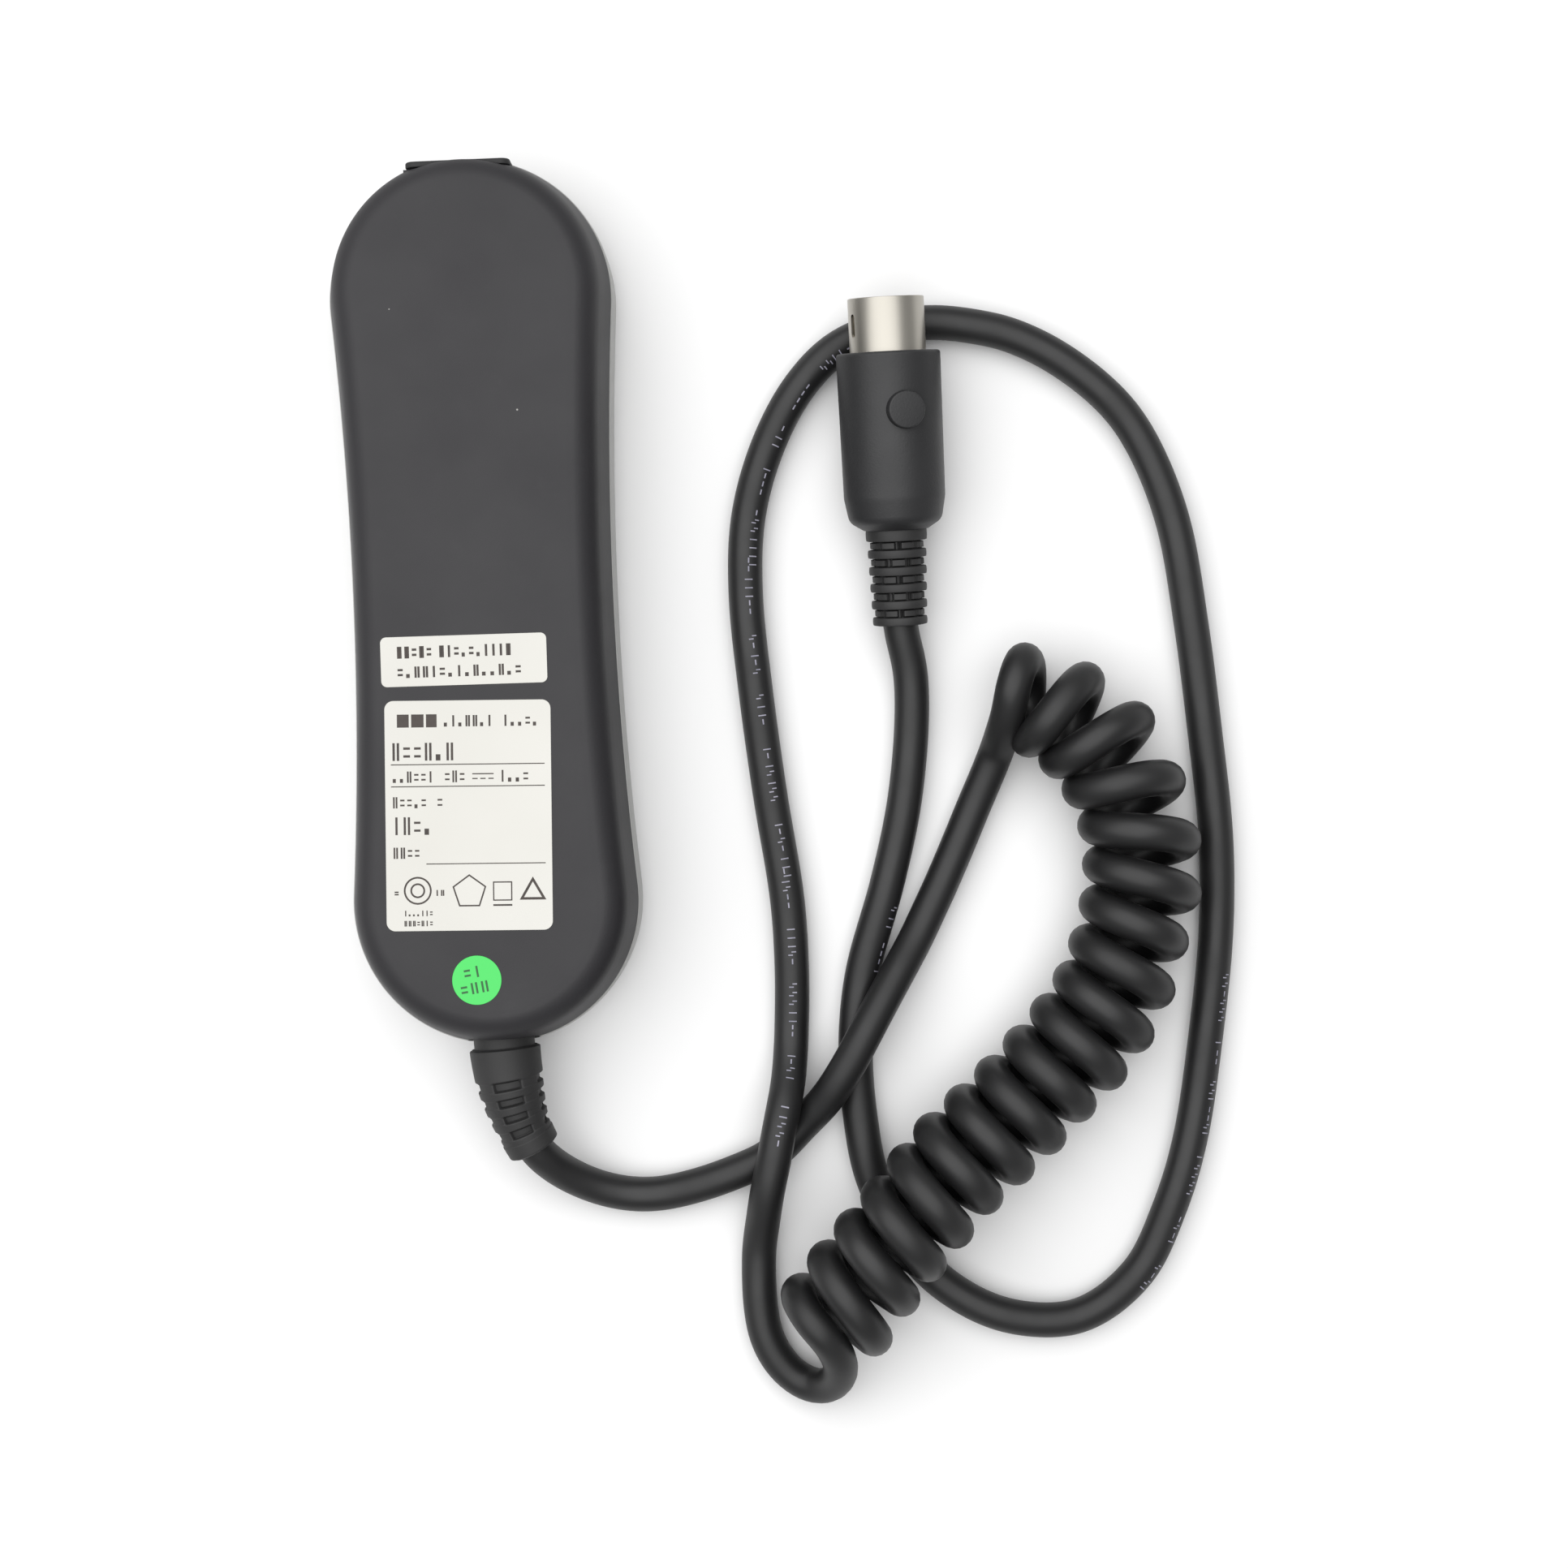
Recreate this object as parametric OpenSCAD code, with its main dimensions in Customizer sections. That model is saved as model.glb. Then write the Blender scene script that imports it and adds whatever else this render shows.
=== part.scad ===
// Wired hand control: a two-shell handset lying on its key side, with a
// part-coiled lead that ends in a round multi-pin plug.
// Origin: centre of the handset's footprint, on the surface it rests on.
// +Z up through the rear shell, +Y towards the charging-port end.

/* [Handset outline] */
// Radius of the port end, at the widest line of the front shell
head_r = 24.6; // [23:0.1:27]
// Radius of the cord end
tail_r = 24.9; // [23:0.1:27]
// Distance of each end's centre from the origin, along Y
head_c = 52.1; // [46:0.1:58]
// Distance of the cord end's centre from the origin, along -Y
tail_c = 51.8; // [46:0.1:58]
// Radius of the concave waist on each side
waist_r = 650; // [450:10:1200]

/* [Handset shells] */
// Height of the parting line above the rim
part_z = 12; // [11:0.5:13]
// Full thickness of the handset
body_t = 24.5; // [24:0.1:26]
// Step of the rear shell inside the front shell
step_in = 0.35; // [0.2:0.05:0.8]
// Front shell wall
front_wall = 2.4; // [2:0.1:2.8]

/* [Keys] */
// Key width, across the handset
key_w = 15; // [12:0.5:16]
// Key length, along the handset
key_l = 18; // [14:0.5:20]
// Distance between the two columns
key_dx = 19; // [18.5:0.1:20]
// Distance between rows
key_dy = 26; // [24:0.5:27]
// Key travel
key_travel = 1.0; // [0.5:0.1:1.1]

/* [Cord] */
// Diameter of the cord
cord_d = 6.1; // [4:0.1:6.2]
// Outer diameter of the coiled part
coil_d = 20; // [18:0.5:20]

/* [Plug] */
// Diameter of the metal shield
shield_d = 13.2; // [13:0.1:13.4]
// Diameter of the moulded grip at its front
grip_d = 18.1; // [17:0.1:18.5]
// Length of the moulded grip
grip_l = 30.6; // [28:0.1:32]
// Number of sound pins: one in the centre, the rest on a circle
pin_n = 8; // [5:1:8]
// Diameter of the pin circle
pin_circle = 7; // [6.5:0.1:7.5]

/* [Hidden] */

$fn = 48;
e = 0.01;
cord_r = cord_d / 2;
coil_r = coil_d / 2;

// ---------- outline: two end circles joined by concave tangent arcs ----------
yc = ((head_c * head_c - tail_c * tail_c)
      - (head_r - tail_r) * (head_r + tail_r + 2 * waist_r)) / (2 * (head_c + tail_c));
xs = sqrt(pow(head_r + waist_r, 2) - pow(head_c - yc, 2));
ph = atan2(yc - head_c, xs);
pt = atan2(yc + tail_c, xs);

// the outline moved inwards by d: na points on each end, ns on each side
function outline(d, na = 22, ns = 9) = concat(
  [for (i = [0 : na]) let (a = ph + (180 - 2 * ph) * i / na)
    [(head_r - d) * cos(a), head_c + (head_r - d) * sin(a)]],
  [for (i = [1 : ns]) let (a = -ph + (-pt + ph) * i / ns)
    [-xs + (waist_r + d) * cos(a), yc + (waist_r + d) * sin(a)]],
  [for (i = [1 : na]) let (a = 180 - pt + (180 + 2 * pt) * i / na)
    [(tail_r - d) * cos(a), -tail_c + (tail_r - d) * sin(a)]],
  [for (i = [1 : ns - 1]) let (a = 180 + pt + (ph - pt) * i / ns)
    [xs + (waist_r + d) * cos(a), yc + (waist_r + d) * sin(a)]]);

// a closed skin through rings of equal length
module skin(rings) {
  n = len(rings[0]);
  m = len(rings);
  pts = [for (r = rings) for (p = r) p];
  faces = concat(
    [[for (k = [0 : n - 1]) k]],
    [for (i = [0 : m - 2]) for (k = [0 : n - 1]) let (a = i * n + k, b = i * n + (k + 1) % n)
      [a, b + n, b]],
    [for (i = [0 : m - 2]) for (k = [0 : n - 1]) let (a = i * n + k, b = i * n + (k + 1) % n)
      [a, a + n, b + n]],
    [[for (k = [n - 1 : -1 : 0]) (m - 1) * n + k]]);
  polyhedron(points = pts, faces = faces, convexity = 8);
}

// a stack of outlines: each level is [height, inset]
module loft(levels) {
  skin([for (l = levels) [for (p = outline(l[1])) [p[0], p[1], l[0]]]]);
}

module slab(z0, z1, d) {
  translate([0, 0, z0]) linear_extrude(z1 - z0) polygon(outline(d));
}

// a flat plate with round corners
module plate(w, l, r, h) {
  linear_extrude(h) union() {
    square([w - 2 * r, l], center = true);
    square([w, l - 2 * r], center = true);
    for (sx = [-1, 1]) for (sy = [-1, 1])
      translate([sx * (w / 2 - r), sy * (l / 2 - r)]) circle(r);
  }
}

module along_y(x, y, z) { translate([x, y, z]) rotate([-90, 0, 0]) children(); }

// ---------- curves ----------
function unit(v) = v / norm(v);
function cr(a, b, c, d, t) = 0.5 * (2 * b + (c - a) * t
  + (2 * a - 5 * b + 4 * c - d) * t * t + (3 * b - a - 3 * c + d) * t * t * t);
function ends(P) = concat([2 * P[0] - P[1]], P, [2 * P[len(P) - 1] - P[len(P) - 2]]);
function smooth_path(P, n, floor_z) = let (Q = ends(P)) concat(
  [for (i = [0 : len(P) - 2]) for (k = [0 : n - 1])
    let (p = cr(Q[i], Q[i + 1], Q[i + 2], Q[i + 3], k / n)) [p[0], p[1], max(p[2], floor_z)]],
  [P[len(P) - 1]]);
function sums(P, i = 0, acc = [0]) = i >= len(P) - 1 ? acc
  : sums(P, i + 1, concat(acc, [acc[i] + norm(P[i + 1] - P[i])]));
function at(P, C, s) = let (k = max([for (i = [0 : len(P) - 2]) if (C[i] <= s) i]),
  t = (s - C[k]) / (C[k + 1] - C[k])) P[k] + (P[k + 1] - P[k]) * t;
function even(P, step) = let (C = sums(P), L = C[len(C) - 1], n = max(2, round(L / step)))
  concat([for (i = [0 : n - 1]) at(P, C, L * i / n)], [P[len(P) - 1]]);

// a tube of radius r[i] through the points of P
module tube(P, r, sides) {
  n = len(P);
  T = [for (i = [0 : n - 1]) unit(P[min(i + 1, n - 1)] - P[max(i - 1, 0)])];
  skin([for (i = [0 : n - 1])
    let (s = unit(cross(T[i], [0, 0, 1])), u = cross(s, T[i]), q = is_list(r) ? r[i] : r)
    [for (k = [0 : sides - 1]) let (a = -90 - 360 * k / sides)
      P[i] + q * (cos(a) * s + sin(a) * u)]]);
}

// ---------- routes, in round numbers ----------
// bent sleeve where the cord leaves the handset
RELIEF = [[0.3, -76, 12], [0.8, -82, 12], [1.5, -86, 11.6], [2.4, -89.5, 11.2],
  [3.4, -92.2, 10.8], [4.6, -94.8, 10.2]];
// from the sleeve to the coil: under the loop at x 45, over the last stretch at x 61
LEAD = [[4.6, -94.8, 10.2], [8.5, -99.3, 7], [14, -102.7, 4.2], [19.5, -104.6, 3.1],
  [25, -105, 3.05], [32.3, -104, 3.05], [39.3, -101.8, 3.05], [45.4, -99, 3.05],
  [51, -93.8, 3.8], [55, -89.6, 6.3], [57.5, -86.2, 8.4], [60, -82.4, 9.4],
  [64.3, -75, 8.8], [68.7, -68, 6.4], [72.3, -62.3, 4], [75.7, -56.5, 3.05],
  [81, -45.7, 3.05], [84.3, -38.2, 3.05], [88, -30, 3.6], [90.5, -24, 5.6], [92, -20, 9]];
// centre line of the coiled part
COIL = [[92.5, -19, 10], [100, -25, 10], [106.5, -30.5, 10], [110.5, -38, 10],
  [112, -47.5, 10], [111.5, -56, 10], [109, -64.5, 10], [106.5, -71.5, 10],
  [102, -78, 10], [97, -83.5, 10], [91.5, -89, 10], [86.5, -93.5, 10.8],
  [80.5, -98.5, 12.4], [75, -103, 14.8], [70, -108.5, 16.6], [65.5, -114, 16.6],
  [60.5, -119.5, 14.6], [56, -126.5, 11.8]];
// from the coil to the plug: over the lead, under the plug, under the coil and the lead
MAIN = [[56, -127.5, 11], [56.5, -133, 9], [55.5, -138, 5], [52.5, -140.5, 3.2],
  [49, -138.7, 3.05], [46, -135, 3.05], [43.8, -130.6, 3.05], [42.4, -120.4, 3.05],
  [42.7, -115, 3.6], [43.6, -109.8, 5.8], [44.6, -104.5, 8.6], [46, -98.8, 9.5],
  [47, -94.3, 9.3], [48.1, -89.8, 8.3], [49, -85.9, 6], [49.6, -81.5, 4],
  [50, -77, 3.05], [50.5, -66, 3.05], [50.2, -54, 3.05], [48, -35.7, 3.05],
  [45.8, -17, 3.05], [45.2, 0, 3.05], [46.2, 13.3, 3.05], [49.5, 26.2, 3.05],
  [55.4, 37.1, 3.05], [62.5, 43.4, 3.05], [71.6, 46.2, 3.05], [80, 46.6, 3.05],
  [88.5, 45.1, 3.05], [100, 39.3, 3.05], [107, 33, 3.05], [115, 21.5, 3.05],
  [120.1, 8.4, 3.05], [123.6, -8.9, 3.05], [125.6, -27.6, 3.05], [126.3, -46.2, 3.05],
  [125.4, -62.6, 3.05], [122.8, -81, 3.05], [119.2, -99.5, 3.05], [115, -111.5, 3.05],
  [109, -122.4, 3.05], [98.5, -129.5, 3.05], [86, -129, 3.05], [76, -123.8, 3.05],
  [69.3, -116.7, 3.05], [63.2, -104, 3.05], [61.4, -92.7, 3.05], [61.1, -80.6, 3.05],
  [62.8, -67.9, 3.05], [67.9, -52, 3.05], [71.5, -38, 3.05], [73.4, -24, 3.2],
  [73.5, -15, 4.2], [72.7, -6.6, 6.1]];

// ---------- plug placement: its nose lies on the loop, its tail on the floor ----------
plug_at = [71.9, 9.7, 8.2];
plug_tilt = 7.3;
module at_plug() { translate(plug_at) rotate([0, 0, 0.5]) rotate([plug_tilt, 0, 0]) children(); }

key_x = key_dx / 2;
key_rows = [40, 40 - key_dy, 40 - 2 * key_dy];
function key_pos(n) = [n % 2 == 1 ? -key_x : key_x, key_rows[floor((n - 1) / 2)]];
board_bosses = [[-13.5, 58], [13.5, 58], [-13.5, -36], [13.5, -36]];
clamp_posts = [[-8.2, -66], [8.8, -66]];
cord_x = 0.3;
board_z = 13;
board_t = 1.6;

// ---------- handset ----------
module front_shell() {
  color([0.62, 0.62, 0.61]) difference() {
    union() {
      difference() {
        loft([[0, 2.2], [0.5, 1.1], [1.4, 0.35], [3, 0], [9, 0], [part_z, 0.15]]);
        // the inside, with the groove that the rear shell's bead snaps into
        loft([[4.2, front_wall], [part_z - 1.4, front_wall], [part_z - 1.15, front_wall - 0.4],
          [part_z - 0.65, front_wall - 0.4], [part_z - 0.35, front_wall], [part_z + 1, front_wall]]);
      }
      for (p = board_bosses) translate([p[0], p[1], 4]) cylinder(r = 2.5, h = board_z - 4);
      for (p = clamp_posts) translate([p[0], p[1], 4]) cylinder(r = 2.3, h = part_z - 4);
      translate([cord_x - 5, -69, 4]) cube([10, 6, part_z - 4]);
    }
    slab(-1, 2.2, 4);
    for (n = [1 : 6]) translate([key_pos(n)[0], key_pos(n)[1], 1])
      plate(key_w + 0.6, key_l + 0.6, 4.3, 5);
    for (p = board_bosses) translate([p[0], p[1], 5.5]) cylinder(r = 1.1, h = 9);
    for (p = clamp_posts) translate([p[0], p[1], 5.5]) cylinder(r = 1.1, h = 9);
    along_y(cord_x, -71, 12) cylinder(r = 3.1, h = 9);
    along_y(cord_x, -80, 12) cylinder(r = 6.2, h = 7.4);
  }
}

module rear_shell() {
  s = step_in;
  color([0.13, 0.13, 0.14]) {
    difference() {
      // the lowest levels are the lip inside the front shell, with its snap bead
      loft([[part_z - 1.4, 2.5], [part_z - 1.1, 2.15], [part_z - 0.7, 2.15], [part_z - 0.4, 2.5],
        [part_z + 0.1, 2.5], [part_z + 0.1, s], [16, s + 0.3],
        [19, s + 0.65], [body_t - 3.5, s + 1.15], [body_t - 1.9, s + 1.9],
        [body_t - 0.8, s + 3], [body_t - 0.2, s + 4.2], [body_t, s + 5.4]]);
      // the inside, with a thicker wall behind the port's cover
      intersection() {
        loft([[part_z - 3, 3.5], [13.6, 3.5], [13.6, 2.7], [20.6, 2.7], [20.6, 5.2], [body_t - 2, 5.2]]);
        translate([-40, -90, 0]) cube([80, 161.2, 40]);
      }
      // charging port and the pocket of its cover
      translate([-6.8, 66, 14.3]) cube([13.6, 14, 6.4]);
      translate([-9.7, 73, part_z - 2]) cube([18.6, 7.5, 12.3]);
      // outlet of the strain relief
      along_y(cord_x, -80, 12) cylinder(r = 6.2, h = 8);
      along_y(cord_x, -72.4, 12) cylinder(r = 7.4, h = 3);
    }
  }
}

module keypad_panel() {
  color([0.2, 0.2, 0.22]) difference() {
    slab(1.2, 2.2, 4.15);
    for (n = [1 : 6]) translate([key_pos(n)[0], key_pos(n)[1], 0])
      plate(key_w + 0.6, key_l + 0.6, 4.3, 5);
  }
}

module key(n) {
  color([0.75, 0.75, 0.74]) translate([key_pos(n)[0], key_pos(n)[1], 0]) union() {
    translate([0, 0, 0.5]) plate(key_w, key_l, 4, 4.1);
    translate([0, 0, 4.5]) plate(key_w + 2.4, key_l + 2.4, 4.5, 1.2);
    translate([0, 0, 5.6]) cylinder(r = 3, h = 1.2);
  }
}

module plunger(n) {
  color([0.85, 0.2, 0.15]) translate([key_pos(n)[0], key_pos(n)[1], 6.8])
    cylinder(r = 1.6, h = 3.8);
}

module switch_bodies() {
  color([0.1, 0.1, 0.1]) for (n = [1 : 6]) translate([key_pos(n)[0], key_pos(n)[1], 8])
    difference() {
      plate(12, 12, 1, board_z - 8);
      translate([0, 0, -1]) cylinder(r = 1.65, h = 5);
    }
}

module circuit_board() {
  color([0.1, 0.35, 0.18]) difference() {
    intersection() {
      slab(board_z, board_z + board_t, 5);
      translate([-30, -48, 0]) cube([60, 118, 40]);
    }
    for (p = board_bosses) translate([p[0], p[1], 10]) cylinder(r = 1.3, h = 9);
  }
}

module screw(x, y, z) {
  translate([x, y, z]) union() {
    difference() {
      cylinder(r = 2, h = 1.4);
      translate([-0.25, -1.4, 0.9]) cube([0.5, 2.8, 1]);
      translate([-1.4, -0.25, 0.9]) cube([2.8, 0.5, 1]);
    }
    translate([0, 0, -8]) cylinder(r = 1.05, h = 8 + e);
  }
}

module case_screws() {
  color([0.75, 0.75, 0.77]) {
    for (p = board_bosses) screw(p[0], p[1], board_z + board_t);
    for (p = clamp_posts) screw(p[0], p[1], 16.4);
  }
}

module usb_socket_shell() {
  color([0.8, 0.8, 0.82]) translate([-6.6, 58.9, board_z + board_t]) difference() {
    cube([13.2, 14, 5.8]);
    translate([0.3, 0.6, 0.3]) cube([12.6, 20, 5.2]);
  }
}

module usb_socket_tongue() {
  color([0.15, 0.3, 0.75]) translate([0, 59.5, board_z + board_t]) union() {
    translate([-6.25, 0, 0.35]) cube([12.5, 2, 5.1]);
    translate([-5.55, 2 - e, 3]) cube([11.1, 10.4, 1.84]);
  }
}

module usb_cover() {
  color([0.05, 0.05, 0.05]) union() {
    translate([-9.3, 74, 13.05]) rotate([0, 90, 0]) cylinder(r = 0.7, h = 17.8);
    translate([-9.3, 73.3, 13.05]) cube([17.8, 1.4, 8.85]);
  }
}

module converter_parts() {
  z = board_z + board_t;
  color([0.2, 0.2, 0.22]) {
    translate([-10, 44, z]) cylinder(r = 3.2, h = 6);
    translate([9, 44, z]) plate(8, 8, 1, 4.2);
    translate([0, 30, z]) plate(5, 6.2, 0.3, 1.7);
  }
}

module wire_header() {
  color([0.9, 0.88, 0.8]) translate([-8, -43, board_z + board_t]) difference() {
    cube([16, 6, 5]);
    for (i = [0 : 7]) translate([1 + i * 2, -1, 1.4]) translate([-0.65, 0, 0]) cube([1.3, 4.6, 1.6]);
  }
}

module lead_wires() {
  cols = [[0.8, 0.1, 0.1], [0.1, 0.2, 0.8], [0.1, 0.6, 0.2], [0.9, 0.8, 0.1],
    [0.9, 0.9, 0.9], [0.5, 0.3, 0.1], [0.9, 0.5, 0.1], [0.4, 0.1, 0.5]];
  slot = [0, 2, 4, 6, 7, 5, 3, 1];
  for (i = [0 : 7]) let (a = 22.5 + 45 * i, x1 = -7 + slot[i] * 2,
    z0 = 12 + 1.9 * sin(a), x0 = cord_x - 1.9 * cos(a))
    color(cols[i]) tube(even(smooth_path([[x0, -62, z0], [x0 + x1 * 0.1, -59, z0 + 0.6],
      [x0 * 0.5 + x1 * 0.5, -53.5, 14.6 + (z0 - 12) * 0.5], [x1, -48.4, 16.4], [x1, -42, 16.8]], 4, 0), 2.6), 0.5, 6);
}

module cord_stub() {
  color([0.06, 0.06, 0.06]) along_y(cord_x, -70.7, 12) cylinder(r = cord_r - 0.05, h = 8.7);
}

module cord_clamp() {
  color([0.15, 0.15, 0.16]) difference() {
    translate([cord_x - 11.5, -69, 12.1]) cube([23, 6, 4.3]);
    along_y(cord_x, -71, 12) cylinder(r = 3.1, h = 9);
    for (p = clamp_posts) translate([p[0], p[1], 10]) cylinder(r = 1.3, h = 9);
  }
}

// ---------- labels ----------
module model_label() {
  color([0.9, 0.9, 0.87]) translate([-2.5, -10.6, body_t]) rotate([0, 0, -0.6]) plate(28, 8.4, 1, 0.12);
}
module rating_label() {
  color([0.9, 0.9, 0.87]) translate([-2.8, -36.8, body_t]) rotate([0, 0, -1.8]) plate(28, 38.8, 1.5, 0.12);
}
module inspection_sticker() {
  color([0.27, 0.84, 0.37]) translate([-2.6, -64.6, body_t]) cylinder(r = 4.15, h = 0.1);
}

// ---------- cord ----------
module handset_strain_relief() {
  P = smooth_path(RELIEF, 8, 0);
  C = sums(P);
  L = C[len(C) - 1];
  // radius along the sleeve: a tall collar, four rings with grooves between, an end collar
  marks = [[0, 6.1], [6.4, 5.9], [6.5, 4.9], [7.6, 4.8], [7.7, 5.6], [9.1, 5.5], [9.2, 4.7],
    [10.3, 4.6], [10.4, 5.3], [11.8, 5.2], [11.9, 4.4], [13, 4.3], [13.1, 4.95], [14.5, 4.8],
    [14.6, 4.1], [15.6, 4.1], [15.7, 4.6], [17.2, 4.4], [17.3, 3.9], [18.3, 3.9], [18.4, 4.3], [L, 4.2]];
  color([0.08, 0.08, 0.08]) union() {
    tube([for (m = marks) at(P, C, min(m[0], L - e))], [for (m = marks) m[1]], 20);
    along_y(cord_x, -76.2, 12) cylinder(r = 6.1, h = 4);
    along_y(cord_x, -72.3, 12) cylinder(r = 7.2, h = 1.6);
  }
}

module cord_lead() {
  color([0.07, 0.07, 0.07]) tube(even(smooth_path(LEAD, 6, cord_r), 11), cord_r, 10);
}
module cord_coil() {
  color([0.07, 0.07, 0.07]) tube(even(smooth_path(COIL, 4, coil_r), 9), coil_r, 16);
}
module cord_main() {
  color([0.07, 0.07, 0.07]) tube(even(smooth_path(MAIN, 6, cord_r), 9.5), cord_r, 10);
}

// ---------- plug ----------
module revolve(pts) { rotate([-90, 0, 0]) rotate_extrude($fn = 64) polygon(pts); }

module plug_strain_relief() {
  // collar, then five rings on a tapering core
  color([0.08, 0.08, 0.08]) at_plug() translate([0, -16.6, 0]) revolve(concat(
    [[0, 0], [4.7, 0]],
    [for (i = [0 : 4]) let (y = 1.4 + i * 2.95, q = 4.75 + i * 0.11) each [[q, y], [q - 0.5, y + 0.05], [q - 0.4, y + 1.4], [q + 0.1, y + 1.45]]],
    [[5.35, 14.7], [5.35, 16.55], [0, 16.55]]));
}

module plug_body() {
  g = grip_d / 2;
  color([0.07, 0.07, 0.07]) at_plug() difference() {
    union() {
      revolve([[0, 0], [5.4, 0], [6.9, 0.5], [7.9, 1.3], [8.5, 2.6], [g - 0.2, 4.6],
        [g - 0.2, 6], [g, grip_l - 0.8], [g - 0.6, grip_l], [0, grip_l]]);
      // raised dot that marks the plug's key
      rotate([0, 14, 0]) translate([0, 20.6, 0]) cylinder(r = 3.2, h = g + 1.1);
    }
    revolve([[0, 21], [shield_d / 2 + 0.05, 21], [shield_d / 2 + 0.05, 40], [0, 40]]);
  }
}

module plug_shield() {
  r = shield_d / 2;
  color([0.8, 0.79, 0.76]) at_plug() difference() {
    union() {
      revolve([[r - 0.4, 21.1], [r, 21.1], [r, grip_l + 9.3], [r - 0.4, grip_l + 9.3]]);
      // the key: a groove pressed in along the shield
      intersection() {
        revolve([[0, grip_l + 0.2], [r - 0.2, grip_l + 0.2], [r - 0.2, grip_l + 9.3], [0, grip_l + 9.3]]);
        rotate([0, 14, 0]) translate([0, 0, r]) rotate([-90, 0, 0]) difference() {
          cylinder(r = 1.5, h = 60);
          translate([0, 0, -1]) cylinder(r = 1.1, h = 62);
        }
      }
    }
    rotate([0, 14, 0]) translate([0, grip_l + 0.6, r]) rotate([-90, 0, 0]) cylinder(r = 1.1, h = 20);
    // slot in the side
    rotate([0, 24, 0]) translate([-r - 1, grip_l + 2.6, 0.2]) {
      translate([0, 0.6, 0]) rotate([0, 90, 0]) cylinder(r = 0.6, h = 3);
      translate([0, 3.4, 0]) rotate([0, 90, 0]) cylinder(r = 0.6, h = 3);
      translate([0, 0.6, -0.6]) cube([3, 2.8, 1.2]);
    }
  }
}

function pin_xy(i) = i == 0 ? [0, 0] : let (n = pin_n - 1, a = 14 + (n < 2 ? 180 : 45 + 270 * (i - 1) / (n - 1)))
  [pin_circle / 2 * sin(a), pin_circle / 2 * cos(a)];

module plug_insert() {
  r = shield_d / 2 - 0.45;
  color([0.1, 0.1, 0.1]) at_plug() difference() {
    revolve([[0, 21.1], [r, 21.1], [r, grip_l + 0.1], [0, grip_l + 0.1]]);
    for (i = [0 : pin_n - 1]) translate([pin_xy(i)[0], 20, pin_xy(i)[1]]) rotate([-90, 0, 0])
      cylinder(r = 0.75, h = 30);
  }
}

module plug_pins() {
  color([0.85, 0.7, 0.35]) at_plug() for (i = [0 : pin_n - 1])
    translate([pin_xy(i)[0], 21.2, pin_xy(i)[1]]) revolve([[0, 0], [0.72, 0],
      [0.72, grip_l - 21.2 + 8], [0.4, grip_l - 21.2 + 8.6], [0, grip_l - 21.2 + 8.6]]);
}

front_shell();
rear_shell();
keypad_panel();
key(1);  // key_1
key(2);  // key_2
key(3);  // key_3
key(4);  // key_4
key(5);  // key_5
key(6);  // key_6
plunger(1);  // plunger_1
plunger(2);  // plunger_2
plunger(3);  // plunger_3
plunger(4);  // plunger_4
plunger(5);  // plunger_5
plunger(6);  // plunger_6
switch_bodies();
circuit_board();
case_screws();
usb_socket_shell();
usb_socket_tongue();
usb_cover();
converter_parts();
wire_header();
lead_wires();
cord_stub();
cord_clamp();
model_label();
rating_label();
inspection_sticker();
handset_strain_relief();
cord_lead();
cord_coil();
cord_main();
plug_strain_relief();
plug_body();
plug_shield();
plug_insert();
plug_pins();
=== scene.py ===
import math

import bmesh
import bpy
import numpy as np
from mathutils import Matrix, Vector


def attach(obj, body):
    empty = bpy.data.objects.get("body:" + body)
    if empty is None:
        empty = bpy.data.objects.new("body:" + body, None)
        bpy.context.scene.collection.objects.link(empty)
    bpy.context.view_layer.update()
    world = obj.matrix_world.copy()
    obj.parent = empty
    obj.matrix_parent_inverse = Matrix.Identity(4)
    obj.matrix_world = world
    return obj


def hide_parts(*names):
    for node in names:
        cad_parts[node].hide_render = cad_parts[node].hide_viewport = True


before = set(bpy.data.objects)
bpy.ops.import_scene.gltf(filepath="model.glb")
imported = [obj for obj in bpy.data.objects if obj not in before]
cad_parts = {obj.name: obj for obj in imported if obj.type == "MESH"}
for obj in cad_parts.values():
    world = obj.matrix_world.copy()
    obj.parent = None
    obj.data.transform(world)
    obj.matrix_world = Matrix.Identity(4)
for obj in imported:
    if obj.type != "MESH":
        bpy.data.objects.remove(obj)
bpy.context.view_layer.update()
scene = bpy.context.scene
MM = 0.001

# ------------------------------------------------------------------ camera
cam_data = bpy.data.cameras.new("Camera")
cam = bpy.data.objects.new("Camera", cam_data)
scene.collection.objects.link(cam)
scene.camera = cam
cam_data.sensor_width = 36.0
cam_data.lens = 64.81
cam_data.clip_start, cam_data.clip_end = 0.01, 20
cam.location = (0.0505, -0.03379, 0.500)
cam.rotation_euler = (0, 0, math.radians(-2.45))
scene.view_settings.view_transform = "Standard"


# ------------------------------------------------------------------ small helpers
def vec(*a):
    return np.array(a, float)


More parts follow.
